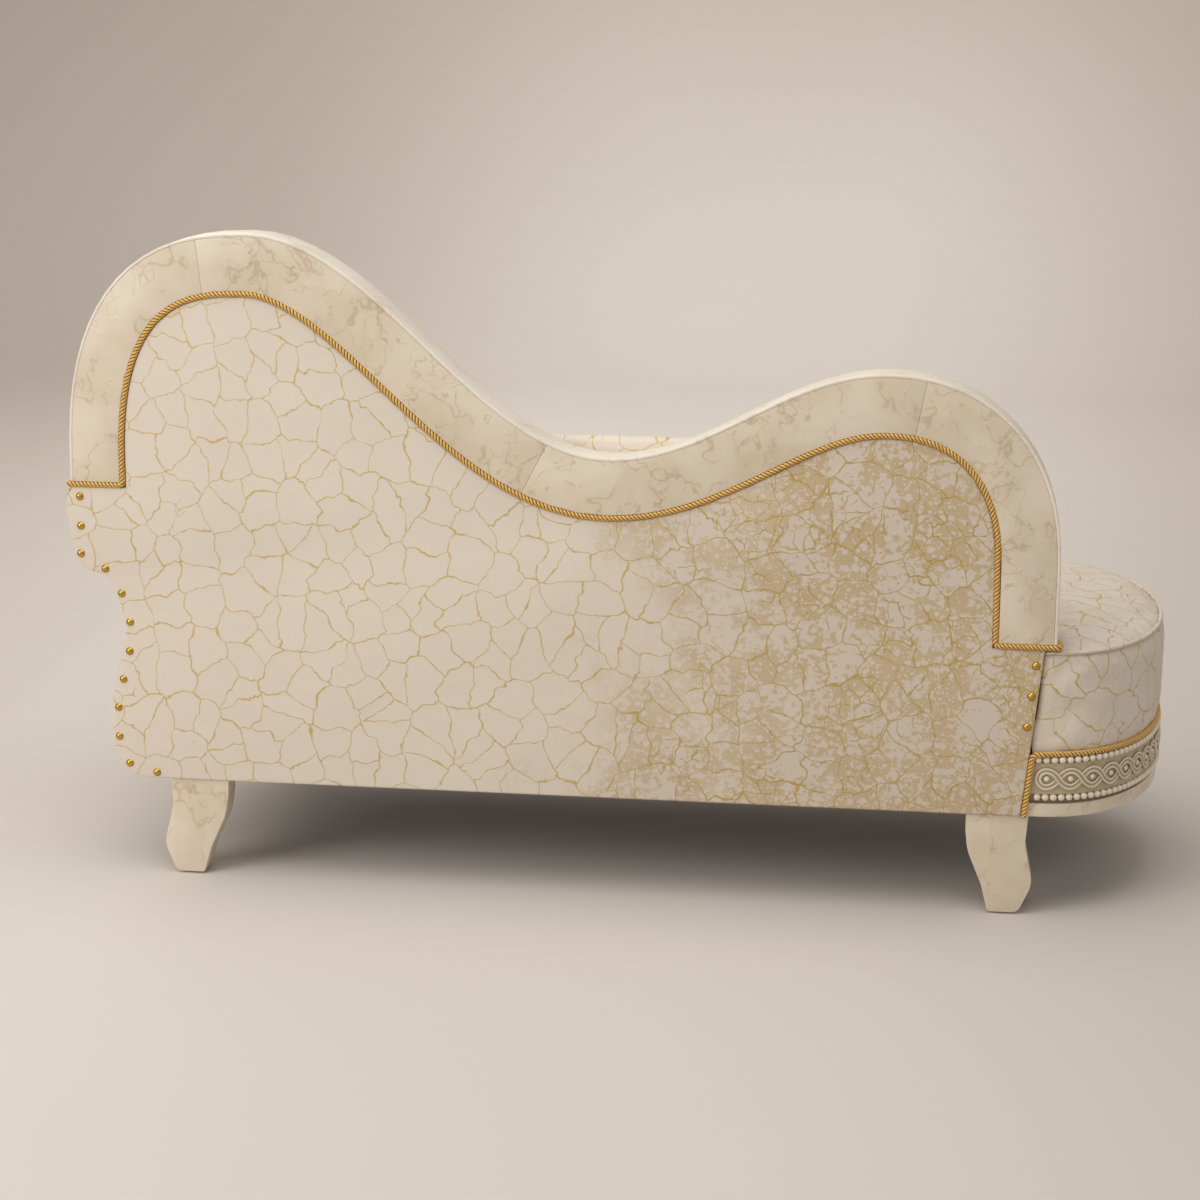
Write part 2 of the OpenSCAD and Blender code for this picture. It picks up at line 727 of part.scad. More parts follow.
module crest_facing_high() { crest_facing(low_joint_step, head_joint_step); }
module crest_facing_head() { crest_facing(head_joint_step, crest_last_step); }
module crest_edge() {
  color(marble_edge) sheet(rear_y, facing_t + board_t + core_t) band(crest, crest_in(edge_t));
}
panel_y = rear_y - facing_t / 5;
module back_panel() {
  color(cloth) difference() {
    sheet(panel_y, panel_y - board_y) polygon(concat(
      crest_in(band_w + rope_gap),
      [[head_x - side_in(band_w + rope_gap), head_facing_h - rope_gap],
        [head_x, head_facing_h - rope_gap]],
      part_of(arm_side, 1, len(arm_side) - 1),
      [[panel_foot_low_x, leg_h], [panel_foot_top_x, foot_facing_h - rope_gap],
        [back_foot_x + band_w + rope_gap, foot_facing_h - rope_gap]]
    ));
    nail_holes();
  }
}
// The rope lies between the facing and the panel, runs out under both ends of the facing and turns
// forward round the sides of the back
rope_in = band_w + rope_gap / 2;
rope_foot_z = foot_facing_h - rope_gap / 2;
rope_head_z = head_facing_h - rope_gap / 2;
rope_line = concat(
  [for (p = rounded([[back_foot_x - rope_gap / 2, core_y - rope_d, 0],
    [back_foot_x - rope_gap / 2, rope_y, rope_d], [back_foot_x + rope_d, rope_y, 0]]))
    [p[0], p[1], rope_foot_z]],
  [for (p = rounded(concat(
    [[back_foot_x + 2 * rope_d, rope_foot_z, 0], [back_foot_x + rope_in, rope_foot_z, rope_gap / 2]],
    [crest_in(rope_in)[1]]))) [p[0], rope_y, p[1]]],
  [for (p = part_of(crest_in(rope_in), 2, crest_last_step - 2)) [p[0], rope_y, p[1]]],
  [for (p = rounded(concat(
    [crest_in(rope_in)[crest_last_step - 1]],
    [[head_x - side_in(rope_in), rope_head_z, rope_gap / 2], [head_x - 2 * rope_d, rope_head_z, 0]])))
    [p[0], rope_y, p[1]]],
  [for (p = rounded([[head_x - rope_d, rope_y, 0], [head_x + rope_gap / 2, rope_y, rope_d],
    [head_x + rope_gap / 2, board_y + fit, 0]])) [p[0], p[1], rope_head_z]]
);
module back_rope() { color(gold) tube(rope_line, rope_d, [1, 1, 1]); }

// Nails along the arm's side and the panel's foot edge
nail_in = 1.5 * nail_r;
head_nails = 12;
scroll_nails = 2;
// A point at a distance along the arm's outer side, set in
function nail_at(d, s) =
  let (
    path = arm_side_in(d),
    sums = lengths(path),
    i = max([for (k = [0 : len(path) - 2]) if (sums[k] <= s) k])
  )
  mix(path[i], path[i + 1], (s - sums[i]) / (sums[i + 1] - sums[i]));
head_nail_points = [
  for (i = [0 : head_nails - 1]) nail_at((i < scroll_nails ? 2 : 1) * nail_in, (i + 0.4) * nail_pitch)
];
foot_nail_points = [
  for (i = [0 : 2])
    let (z = foot_facing_h - (i + 0.7) * nail_pitch) [foot_edge_x(z) + nail_in, z]
];
shank_r = nail_r / 6;
shank_len = 2.4 * nail_r;
module nail_holes() {
  for (p = concat(head_nail_points, foot_nail_points))
    translate([p[0], panel_y + cut, p[1]]) rotate([90, 0, 0])
      cylinder(h = shank_len + 2 * cut, r = shank_r + fit, $fn = round_fn);
}
module nails(points) {
  color(brass) for (p = points)
    translate([p[0], panel_y, p[1]]) rotate([-90, 0, 0]) {
      dome(nail_r, nail_rise);
      translate([0, 0, -shank_len]) cylinder(h = shank_len + cut, r = shank_r, $fn = round_fn);
    }
}
module nails_head() { nails(head_nail_points); }
module nails_foot() { nails(foot_nail_points); }

// Inside back padding with tufts, lofted along the couch
pad_edge_t = 0.4 * pad_t;
pad_round = 0.8 * pad_t;
pad_foot_x = back_foot_x + pad_drop;
pad_head_x = head_x - pad_drop;
function pad_top(x) = max(height_at(crest, x) - 1.4 * pad_drop, pad_dip_limit(x));
// Across the dip the padding has a straight top
function pad_dip_limit(x) = x > foot_crown[0] && x < head_crown[0] ? pad_dip_h : 0;
tufts_across = round((arm_in_x - pad_foot_x) / tuft_w);
tufts_up = round((pad_dip_h - foam_z) / tuft_h);
// Steps of the padding's skin across and up one tuft
across_steps = 6;
up_steps = 4;
pad_columns = tufts_across * across_steps;
pad_rows = tufts_up * up_steps;
// From 0 at a tuft and along its creases to 1 at the top of a cell
function cell(i, k) =
  let (u = i / across_steps, v = k / up_steps)
  pow(abs(sin(180 * (u + v)) * sin(180 * (u - v))), 0.4);
function swell(d) = sqrt(max(0, 1 - pow(1 - min(1, d / pad_round), 2)));
function pad_out(side_d, full) =
  pad_edge_t + (pad_t - cloth_t - fit - pad_edge_t - tuft_d * (1 - full)) * swell(side_d);
// One upright slice: column i of n, its back edge and its front from the top down
function pad_x(x0, x1, i, n) = mix(x0, x1, i / n);
function pad_z1(x0, x1, i, n) = pad_top(mix(x0 + pad_drop / 2, x1 - pad_drop / 2, i / n));
function pad_slice(x0, x1, z0, i, n, rows, tufted) =
  let (x = pad_x(x0, x1, i, n), z1 = pad_z1(x0, x1, i, n), y0 = pad_y - cloth_t - fit)
  concat(
    [[x, y0, z0], [x, y0, z1]],
    [for (k = [0 : rows])
      let (z = mix(z1, z0, k / rows), d = min(z1 - z, x - x0, x1 - x))
      [x, y0 - pad_out(d, tufted ? cell(i, k) : 1), z]]
  );
module padding(x0, x1, z0, columns, rows, tufted) {
  loft([for (i = [columns : -1 : 0]) pad_slice(x0, x1, z0, i, columns, rows, tufted)]);
}
module back_pad() {
  color(cloth) padding(pad_foot_x, arm_in_x - fit, foam_z + fit, pad_columns, pad_rows, true);
}
module head_pad() {
  color(cloth) padding(arm_in_x, pad_head_x, arm_h + fit, 8, 9, false);
}
// Buttons at the tufts, each on its shank
button_t = 0.5 * button_r;
button_lift = 1.15 * button_r;
button_shank_r = button_r / 10;
button_gap = 1.3 * button_shank_r;
button_points = [
  for (i = [1 : 2 * tufts_across - 1])
    for (k = [1 : 2 * tufts_up - 1])
      let (
        slice = pad_slice(pad_foot_x, arm_in_x - fit, foam_z + fit, i * across_steps / 2, pad_columns,
          pad_rows, true),
        p = slice[2 + k * up_steps / 2],
        side_d = min(p[0] - pad_foot_x, arm_in_x - p[0], slice[1][2] - p[2])
      )
      if ((i + k) % 2 == 0 && side_d > 0.8 * pad_round && p[2] > seat_h + crown_h + 2 * button_r) p
];
module back_buttons() {
  color(cloth) for (p = button_points)
    translate([p[0], p[1] - button_gap, p[2]]) rotate([90, 0, 0]) {
      cylinder(h = button_lift + fit, r = button_shank_r, $fn = round_fn);
      translate([0, 0, button_lift]) cylinder(h = button_t, r = button_r, $fn = round_fn);
    }
}

// Arm
cover_t = rope_d * 0.7;
arm_foam_t = 16;
arm_rear_y = pad_y - cloth_t - fit;
arm_front_y = front_y + arm_facing_t;
module arm_former(y) {
  color(timber) sheet(y, former_t) difference() {
    polygon(concat(
      [for (p = arm_in(cover_t + arm_foam_t + fit)) [p[0], max(p[1], leg_h)]], [[arm_in_x, leg_h]]));
    translate([arm_in_x - cut, leg_h - cut])
      square([rail_t + cut + fit, rail_h + cut + 2 * web_t + fit]);
  }
}
module arm_former_rear() { arm_former(arm_rear_y); }
module arm_former_front() { arm_former(arm_front_y + former_t); }
// The rib behind the outside arm stands beside the back board
module arm_side_rib() {
  color(timber) sheet(core_y, core_t) polygon(concat(
    [for (p = arm_side_in(cover_t)) if (p[1] < head_facing_h - fit && p[0] > rail_end_x + cut)
      [p[0], max(p[1], leg_h)]],
    [[rail_end_x + fit, leg_h], [rail_end_x + fit, head_facing_h - 2 * fit]]
  ));
}
// A round top rail in the scroll and square rails below it, between the two formers
scroll_mid = [(arm_in_x + scroll_x) / 2, arm_h - scroll_drop / 2];
arm_rail_r = scroll_w / 4;
arm_rail_share = [0.3, 0.62];
module arm_rails() {
  y1 = arm_rear_y - former_t;
  y0 = arm_front_y + former_t;
  color(timber) {
    translate([scroll_mid[0], y1, scroll_mid[1]]) rotate([90, 0, 0])
      cylinder(h = y1 - y0, r = arm_rail_r, $fn = 2 * round_fn);
    for (t = arm_rail_share)
      translate([(arm_in_x + neck_x) / 2 - rail_t / 2, y0, mix(leg_h, arm_h, t)])
        cube([rail_t, y1 - y0, 2 * rail_t]);
  }
}
module arm_pad() {
  color(foam) sheet(arm_rear_y, arm_rear_y - arm_front_y)
    band(arm_in(cover_t + fit), arm_in(cover_t + arm_foam_t));
}
module arm_cover() {
  color(cloth) {
    sheet(arm_rear_y, arm_rear_y - arm_front_y) band(arm_wrap, arm_in(cover_t));
    sheet(board_y - rope_d, board_y - rope_d - arm_rear_y) band(
      [for (p = arm_side) if (p[1] < head_facing_h - fit && p[0] > rail_end_x) p],
      [for (p = arm_side_in(cover_t)) if (p[1] < head_facing_h - fit && p[0] > rail_end_x) p]
    );
  }
}
module arm_facing() {
  color(cloth) sheet(arm_front_y, arm_facing_t) polygon(concat(arm_wrap, [[arm_in_x, leg_h]]));
}
module arm_rope() {
  color(gold) tube(
    [for (p = part_of(arm_side_in(rope_d / 6), 0, len(arm_side) - 2)) [p[0], board_y - rope_d / 2, p[1]]],
    rope_d, [0, 1, 0]);
}

leg_rear_head();
leg_rear_foot();
leg_front_head();
leg_front_foot();
foot_glides();
leg_bolts();
rail_rear();
rail_front();
rail_head();
end_rail_rear();
end_rail_mid();
end_rail_front();
cross_rails();
corner_blocks();
webbing_cross();
webbing_long();
deck_cloth();
dust_cover();
seat_foam();
seat_cover();
seat_border();
seat_piping();
plinth_strip();
moulding_ground();
bead_row_upper();
bead_row_lower();
guilloche_bands();
guilloche_bosses();
end_rope();
back_board();
back_posts();
crest_rail_foot();
crest_rail_mid();
crest_rail_head();
back_hessian();
crest_facing_foot();
crest_facing_low();
crest_facing_high();
crest_facing_head();
crest_edge();
back_panel();
back_rope();
nails_head();
nails_foot();
back_pad();
head_pad();
back_buttons();
arm_former_rear();
arm_former_front();
arm_side_rib();
arm_rails();
arm_pad();
arm_cover();
arm_facing();
arm_rope();
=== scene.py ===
# %% [markdown]
# A fainting couch seen from behind: a double-hump back with a marbled crest, a scrolled arm and a
# rounded foot end over a carved moulding. The construction comes in as a fixed frame, and each cell
# below dresses one part of it: cloth, cord, carving or finish.

# %% Load the frame
import math

import bmesh
import bpy
import numpy as np
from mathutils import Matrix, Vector


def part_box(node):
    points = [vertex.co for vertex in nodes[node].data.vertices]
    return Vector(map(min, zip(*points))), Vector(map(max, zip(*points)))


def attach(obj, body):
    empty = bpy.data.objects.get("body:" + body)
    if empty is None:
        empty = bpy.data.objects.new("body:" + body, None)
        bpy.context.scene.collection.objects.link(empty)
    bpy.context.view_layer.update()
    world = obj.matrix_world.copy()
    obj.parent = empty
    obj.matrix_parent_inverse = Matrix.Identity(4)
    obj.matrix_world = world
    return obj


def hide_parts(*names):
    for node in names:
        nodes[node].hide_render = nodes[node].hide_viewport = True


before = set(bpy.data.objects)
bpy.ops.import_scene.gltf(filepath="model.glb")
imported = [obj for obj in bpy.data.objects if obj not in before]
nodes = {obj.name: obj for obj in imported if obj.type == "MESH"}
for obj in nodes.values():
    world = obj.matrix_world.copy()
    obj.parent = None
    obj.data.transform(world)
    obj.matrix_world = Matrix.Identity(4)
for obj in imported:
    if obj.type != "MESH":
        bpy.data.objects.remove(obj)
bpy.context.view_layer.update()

# %% [markdown]
# The camera stands behind the couch, a little towards its foot end and above the crest. Its lens and
# place come from the photograph's edges: the long lens keeps the two humps almost free of distortion.

# %% Camera
lens, camera_yaw, camera_pitch = 78.3, 0.14499, 0.23712
camera_place = (-0.5392, 4.0806, 1.3909)
camera_data = bpy.data.cameras.new("camera")
camera_data.sensor_width = 36
camera_data.lens = lens
camera = bpy.data.objects.new("camera", camera_data)
bpy.context.scene.collection.objects.link(camera)
bpy.context.scene.camera = camera
camera.location = camera_place
aim = Vector((
    math.sin(camera_yaw) * math.cos(camera_pitch),
    -math.cos(camera_yaw) * math.cos(camera_pitch),
    -math.sin(camera_pitch),
))
camera.rotation_mode = "QUATERNION"
camera.rotation_quaternion = aim.to_track_quat("-Z", "Y")

# %% [markdown]
# Operators act on whatever is selected, so every piece is picked alone before they are used. A piece
# that is finished rides on the couch's one body, and the nodes of the frame that it stands for are hidden.

# %% Helpers for pieces
finishes = {}


def pick(piece):
    """Selects one object alone and makes it the active one."""
    if bpy.context.object and bpy.context.object.mode != "OBJECT":
        bpy.ops.object.mode_set(mode="OBJECT")
    bpy.ops.object.select_all(action="DESELECT")
    piece.select_set(True)
    bpy.context.view_layer.objects.active = piece


def apply_modifiers(piece):
    pick(piece)
    for modifier in list(piece.modifiers):
        bpy.ops.object.modifier_apply(modifier=modifier.name)


def piece_from(name, points, faces):
    """A new mesh object at the origin from points and faces."""
    mesh = bpy.data.meshes.new(name)
    mesh.from_pydata([tuple(p) for p in points], [], faces)
    mesh.update()
    piece = bpy.data.objects.new(name, mesh)
    bpy.context.scene.collection.objects.link(piece)
    return piece


def lofted(name, rings, capped=True):
    """A skin through closed rings of equally many points, with a flat face on each end."""
    count, size = len(rings), len(rings[0])
    faces = []
    for i in range(count - 1):
        for k in range(size):
            a, b = i * size + k, i * size + (k + 1) % size
            faces.append((a, b, b + size, a + size))
    if capped:
        faces.append(tuple(reversed(range(size))))
        faces.append(tuple(range((count - 1) * size, count * size)))
    piece = piece_from(name, np.vstack(rings), faces)
    pick(piece)
    bpy.ops.object.mode_set(mode="EDIT")
    bpy.ops.mesh.select_all(action="SELECT")
    bpy.ops.mesh.normals_make_consistent(inside=False)
    bpy.ops.object.mode_set(mode="OBJECT")
    return piece


def points_of(piece):
    """The piece's vertices as an array."""
    flat = np.empty(len(piece.data.vertices) * 3)
    piece.data.vertices.foreach_get("co", flat)
    return flat.reshape(-1, 3)


def move_points(piece, points):
    piece.data.vertices.foreach_set("co", np.asarray(points, float).ravel())
    piece.data.update()


def normals_of(piece):
    flat = np.empty(len(piece.data.vertices) * 3)
    piece.data.vertices.foreach_get("normal", flat)
    return flat.reshape(-1, 3)


def lay_uv(piece, u, v):
    """Writes a UV map in metres from one u and one v for each vertex."""
    corner = np.empty(len(piece.data.loops), int)
    piece.data.loops.foreach_get("vertex_index", corner)
    layer = piece.data.uv_layers.active or piece.data.uv_layers.new(name="cloth")
    layer.data.foreach_set("uv", np.stack([np.asarray(u)[corner], np.asarray(v)[corner]], 1).ravel())


def flat_uv(piece):
    """Lays the flat map as the piece is seen from behind."""
    places = points_of(piece)
    lay_uv(piece, places[:, 0], places[:, 2])


def dress(piece, finish, slot, *names, smooth=40):
    """Gives the piece its finish, lets it ride on the couch and stand for nodes of the frame."""
    pick(piece)
    if smooth:
        bpy.ops.object.shade_smooth_by_angle(angle=math.radians(smooth))
    else:
        bpy.ops.object.shade_smooth()
    piece.data.materials.clear()
    piece.data.materials.append(finishes[finish])
    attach(piece, "root")
    if names:
        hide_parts(*names)
    print(piece.name, len(piece.data.polygons), "faces")

# %% [markdown]
# The new pieces follow the same lines as the frame under them: the crest, the arm's outer side and the
# plan of the base. They are worked out here once, in metres, from the couch's main sizes.

# %% Sizes
couch_len, couch_depth = 1.688, 0.620
head_h, dip_h, foot_h = 1.010, 0.685, 0.820
foot_facing_h, head_facing_h = 0.424, 0.628
foot_straight, head_straight = 0.116, 0.012
band_w, side_w, rope_d = 0.086, 0.078, 0.008
seat_h, crown_h, leg_h = 0.410, 0.026, 0.157
plinth_h, groove_h, moulding_h = 0.021, 0.005, 0.068
scroll_w, neck_t, scroll_reach, scroll_rise = 0.083, 0.084, 0.012, 0.024
facing_t, board_t, crest_rail_t, pad_t = 0.010, 0.018, 0.030, 0.076
deck_t, end_rail_t, end_curve = 0.0055, 0.028, 0.189
bead_reach, back_set_in = 0.0046, 0.171
fit = 0.0002

foot_x = -couch_len / 2 + bead_reach
back_foot_x = foot_x + back_set_in
scroll_x = couch_len / 2
head_x = scroll_x - scroll_reach
neck_x = scroll_x - scroll_w
arm_in_x = neck_x - neck_t
arm_h = head_facing_h + scroll_rise
rear_y = couch_depth / 2 - rope_d / 4
rope_y = rear_y - rope_d / 4
front_y = -couch_depth / 2 + bead_reach
board_y = rear_y - facing_t
core_y = board_y - board_t
pad_y = board_y - board_t - crest_rail_t
pad_front_y = pad_y - pad_t
rail_top = leg_h + plinth_h + groove_h + moulding_h
foam_z = rail_top + deck_t
border_z = rail_top + rope_d + 2 * fit
rope_gap = rope_d + 2 * fit
panel_foot_top_x = back_foot_x + 2.2 * rope_d
panel_foot_low_x = panel_foot_top_x + 3.3 * rope_d
end_x = foot_x + end_curve
end_rear_y = rope_y - rope_d / 2 - fit
end_mid_y = (end_rear_y + front_y) / 2
end_half = (end_rear_y - front_y) / 2


# %% Line helpers
def unit(vector):
    return np.asarray(vector, float) / np.linalg.norm(vector)


def distances(path):
    """How far along a path each of its points lies."""
    return np.concatenate([[0], np.cumsum(np.linalg.norm(np.diff(path, axis=0), axis=1))])


def resampled(path, step=None, count=None):
    """Points at even distances along a path."""
    path = np.asarray(path, float)
    sums = distances(path)
    at = np.linspace(0, sums[-1], count or max(2, round(sums[-1] / step) + 1))
    return np.stack([np.interp(at, sums, column) for column in path.T], 1)


def nearest_on(line, places):
    """For each place, the number of the nearest point on a line and how far off that is."""
    gaps = (np.hypot(*(line - place).T) for place in places)
    at, off = np.array([(np.argmin(shade_band), np.min(shade_band)) for shade_band in gaps]).T
    return at.astype(int), off


def cleaned(path):
    """A path without points that lie on the one before."""
    path = np.asarray(path, float)
    keep = np.concatenate([[True], np.linalg.norm(np.diff(path, axis=0), axis=1) > 1e-6])
    return path[keep]


def beside(path, d):
    """A path moved sideways to its left, by the bisector of its two edges."""
    path = cleaned(path)
    edges = np.diff(path, axis=0)
    edges /= np.linalg.norm(edges, axis=1)[:, None]
    before, after = np.vstack([edges[:1], edges]), np.vstack([edges, edges[-1:]])
    left = np.stack([-before[:, 1], before[:, 0]], 1)
    middle = left + np.stack([-after[:, 1], after[:, 0]], 1)
    middle /= np.linalg.norm(middle, axis=1)[:, None]
    return path + middle * d / np.maximum((middle * left).sum(1), 0.5)[:, None]


def rounded(corners, steps=12):
    """Corners (x, y, radius) turned into a path with tangent arcs."""
    c = np.asarray(corners, float)
    path = [c[0, :2]]
    for i in range(1, len(c) - 1):
        a, b, e = c[i - 1, :2], c[i, :2], c[i + 1, :2]
        u, w = unit(a - b), unit(e - b)
        half = math.acos(max(-1.0, min(1.0, float(u @ w)))) / 2
        reach = min(c[i, 2] / math.tan(half), np.linalg.norm(a - b) / 2, np.linalg.norm(e - b) / 2)
        radius = reach * math.tan(half)
        middle = b + unit(u + w) * radius / math.sin(half)
        p, q = b + u * reach - middle, b + w * reach - middle
        start = math.atan2(p[1], p[0])
        swing = math.atan2(p[0] * q[1] - p[1] * q[0], float(p @ q))
        for t in start + swing * np.arange(steps + 1) / steps:
            path.append(middle + radius * np.array([math.cos(t), math.sin(t)]))
    return cleaned(path + [c[-1, :2]])


def quarter(middle, half_w, rise, square, steps=64):
    """A quarter of a squared ellipse, from its side to its crown."""
    t = np.radians(90 * np.arange(steps + 1) / steps)
    c, s = np.clip(np.cos(t), 0, 1), np.sin(t)
    return np.stack([middle[0] + half_w * c ** (2 / square), middle[1] + rise * s ** (2 / square)], 1)


def half_wave(a, b, steps=64):
    """A half wave between two level points."""
    t = np.arange(1, steps + 1) / steps
    return np.stack([a[0] + (b[0] - a[0]) * t, a[1] + (b[1] - a[1]) * (1 - np.cos(math.pi * t)) / 2], 1)


# %% Crest
foot_hump_w, dip_run, head_hump_w = 0.258, 0.668, 0.288
foot_square, head_square = 2.2, 2.5
foot_crown = (back_foot_x + foot_hump_w, foot_h)
dip = (back_foot_x + dip_run, dip_h)
head_crown = (head_x - head_hump_w, head_h)
foot_shoulder_h = foot_facing_h + foot_straight
head_shoulder_h = head_facing_h + head_straight
crest = cleaned(np.vstack([
    [(back_foot_x, foot_facing_h)],
    quarter((foot_crown[0], foot_shoulder_h), -foot_hump_w, foot_h - foot_shoulder_h, foot_square),
    half_wave(foot_crown, dip),
    half_wave(dip, head_crown),
    quarter((head_crown[0], head_shoulder_h), head_hump_w, head_h - head_shoulder_h, head_square)[::-1][1:],
    [(head_x, head_facing_h)],
]))


def side_in(d):
    """How far the head side is set in where the rest of the facing is set in by d."""
    return d - (band_w - side_w) * min(1, d / band_w)


def crest_in(d):
    """The crest set in, and stretched towards the head side, where the facing is narrower."""
    start = back_foot_x + d
    stretch = (head_x - side_in(d) - start) / (head_x - d - start)
    path = beside(crest, -d)
    return np.stack([start + (path[:, 0] - start) * stretch, path[:, 1]], 1)


# %% Arm's side and plan of the base
arm_rise = head_facing_h - leg_h
arm_side_shares = [(1, .915, .13), (.8, .712, .12), (.22, .69, .05),
                   (-.14, .515, .36), (.31, .221, .49), (.16, 0, .16)]
side_corners = [(neck_x + a * scroll_w, leg_h + b * arm_rise, r * arm_rise) for a, b, r in arm_side_shares]
arm_side = rounded([(head_x, head_facing_h, 0)] + side_corners + [(arm_in_x, leg_h, 0)])
rail_end_x = arm_in_x + end_rail_t
scroll_drop = arm_h - leg_h - arm_rise * arm_side_shares[1][1]
arm_wrap = rounded(
    [(rail_end_x + fit, leg_h, 0)] + side_corners[::-1]
    + [(scroll_x - fit, arm_h, scroll_drop / 2), (arm_in_x, arm_h, scroll_drop / 3)]
    + [(arm_in_x, foam_z + fit, 0)]
)
end_square, end_steps = 2.1, 112
turn = np.radians(90 + 180 * np.arange(end_steps + 1) / end_steps)
turn_cos, turn_sin = np.abs(np.cos(turn)) ** (2 / end_square), np.abs(np.sin(turn)) ** (2 / end_square)
plan = cleaned(np.vstack([
    [(panel_foot_low_x, end_rear_y)],
    np.stack([end_x - end_curve * turn_cos, end_mid_y + end_half * np.sign(np.sin(turn)) * turn_sin], 1),
    [(arm_in_x - fit, front_y)],
]))
print("crest", len(crest), "points; plan", round(distances(plan)[-1], 3), "m round the base")

# %% [markdown]
# The couch stands on a warm pale sweep: a floor that turns up into a wall behind it, so there is no
# horizon line. Soft lamps give the plain studio light, and the world fills the shadows.

# %% Floor and backdrop
floor_size, floor_y, wall_h, sweep = 24, 4.8, 9, 2.6
bpy.ops.object.select_all(action="DESELECT")
bpy.ops.mesh.primitive_plane_add(size=floor_size, location=(0, floor_y, 0))
backdrop = bpy.context.object
backdrop.name = "backdrop"
bpy.ops.object.mode_set(mode="EDIT")
bpy.ops.mesh.select_all(action="DESELECT")
shape = bmesh.from_edit_mesh(backdrop.data)
for edge in shape.edges:
    if all(v.co.y < 0 for v in edge.verts):
        edge.select_set(True)
bmesh.update_edit_mesh(backdrop.data)
bpy.ops.mesh.extrude_region_move(TRANSFORM_OT_translate={"value": (0, 0, wall_h)})
bpy.ops.object.mode_set(mode="OBJECT")
bpy.ops.object.transform_apply(location=True, rotation=True, scale=True)
turn = backdrop.modifiers.new("turn", "BEVEL")
turn.width, turn.segments, turn.limit_method = sweep, 24, "ANGLE"
apply_modifiers(backdrop)
bpy.ops.object.shade_smooth()
print("backdrop", len(backdrop.data.polygons), "faces")

# %% Lamps and world
def lamp(name, place, target, size, power, colour):
    """A soft square lamp that looks at a point."""
    light = bpy.data.lights.new(name, "AREA")
    light.size, light.energy, light.color = size, power, colour
    holder = bpy.data.objects.new(name, light)
    bpy.context.scene.collection.objects.link(holder)
    holder.location = place
    holder.rotation_mode = "QUATERNION"
    holder.rotation_quaternion = (Vector(target) - Vector(place)).to_track_quat("-Z", "Y")


warm_white, cool_white = (1.0, 0.985, 0.965), (1.0, 0.99, 0.98)
lamp("overhead", (0.3, 0.9, 3.8), (0, -0.2, 0.3), 3.4, 66, warm_white)
lamp("camera_side", (3.3, 3.2, 2.2), (0.2, 0, 0.4), 2.2, 66, warm_white)
lamp("far_side", (2.2, -2.6, 2.8), (0, -0.4, 0.3), 2.0, 24, cool_white)
lamp("wall_wash", (0.4, -4.0, 4.4), (0.2, -7.2, 0.6), 3.4, 95, warm_white)
world = bpy.data.worlds.new("studio")
bpy.context.scene.world = world
world.use_nodes = True
world_light = world.node_tree.nodes["Background"].inputs
world_light["Color"].default_value = warm_white + (1,)
world_light["Strength"].default_value = 0.53
bpy.context.scene.view_settings.view_transform = "Standard"

# %% [markdown]
# Finishes are node trees. Small helpers keep them short: one places a node with its values, and one
# turns a colour as it is seen on screen into the linear colour that the shader wants.

# %% Helpers for node trees
def screen(red, green, blue):
    """A colour from 0 to 255, as seen on a screen, made linear."""
    def line(c):
        c = c / 255
        return c / 12.92 if c <= 0.04045 else ((c + 0.055) / 1.055) ** 2.4
    return (line(red), line(green), line(blue), 1.0)


def feed(tree, value, socket):
    """Links another socket to this one, or sets its value."""
    if isinstance(value, bpy.types.NodeSocket):
        tree.links.new(value, socket)
    else:
        socket.default_value = value


def put(tree, kind, settings=(), **inputs):
    """Adds a node. Inputs are values or sockets; i0, i1 pick a socket by number, other keys by name."""
    node = tree.nodes.new(kind)
    for key, value in dict(settings).items():
        setattr(node, key, value)
    for key, value in inputs.items():
        by_number = key[0] == "i" and key[1:].isdigit()
        feed(tree, value, node.inputs[int(key[1:]) if by_number else key.replace("_", " ")])
    return node


def noise(tree, where, scale, detail=2.0, roughness=0.5, **inputs):
    texture = put(tree, "ShaderNodeTexNoise", Vector=where, Scale=scale, Detail=detail, Roughness=roughness,
                  **inputs)
    return texture.outputs["Fac"]


def voronoi(tree, where, scale, feature="F1"):
    """The outputs of a flat Voronoi texture, whose cells don't change with depth."""
    settings = {"voronoi_dimensions": "2D", "feature": feature}
    return put(tree, "ShaderNodeTexVoronoi", settings, Vector=where, Scale=scale).outputs


def parts_of(tree, where):
    """The X, Y and Z of coordinates."""
    return put(tree, "ShaderNodeSeparateXYZ", Vector=where).outputs


def channels_of(tree, colour):
    return put(tree, "ShaderNodeSeparateColor", Color=colour).outputs


def between(tree, value, low, high):
    """0 up to low and 1 from high on; low may be the larger one."""
    settings = {"interpolation_type": "SMOOTHSTEP"}
    return put(tree, "ShaderNodeMapRange", settings, i0=value, From_Min=low, From_Max=high).outputs[0]


def math_node(tree, operation, *values, clamp=False):
    settings = {"operation": operation, "use_clamp": clamp}
    inputs = {f"i{n}": value for n, value in enumerate(values)}
    return put(tree, "ShaderNodeMath", settings, **inputs).outputs[0]


def plus(tree, a, b):
    return math_node(tree, "ADD", a, b)


def minus(tree, a, b):
    return math_node(tree, "SUBTRACT", a, b)


def times(tree, a, b):
    return math_node(tree, "MULTIPLY", a, b)


def mixed(tree, share, a, b):
    return put(tree, "ShaderNodeMix", {"data_type": "RGBA"}, i0=share, i6=a, i7=b).outputs[2]


def vector_node(tree, operation, *values):
    return put(tree, "ShaderNodeVectorMath", {"operation": operation},
               **{f"i{n}": value for n, value in enumerate(values)}).outputs[0]


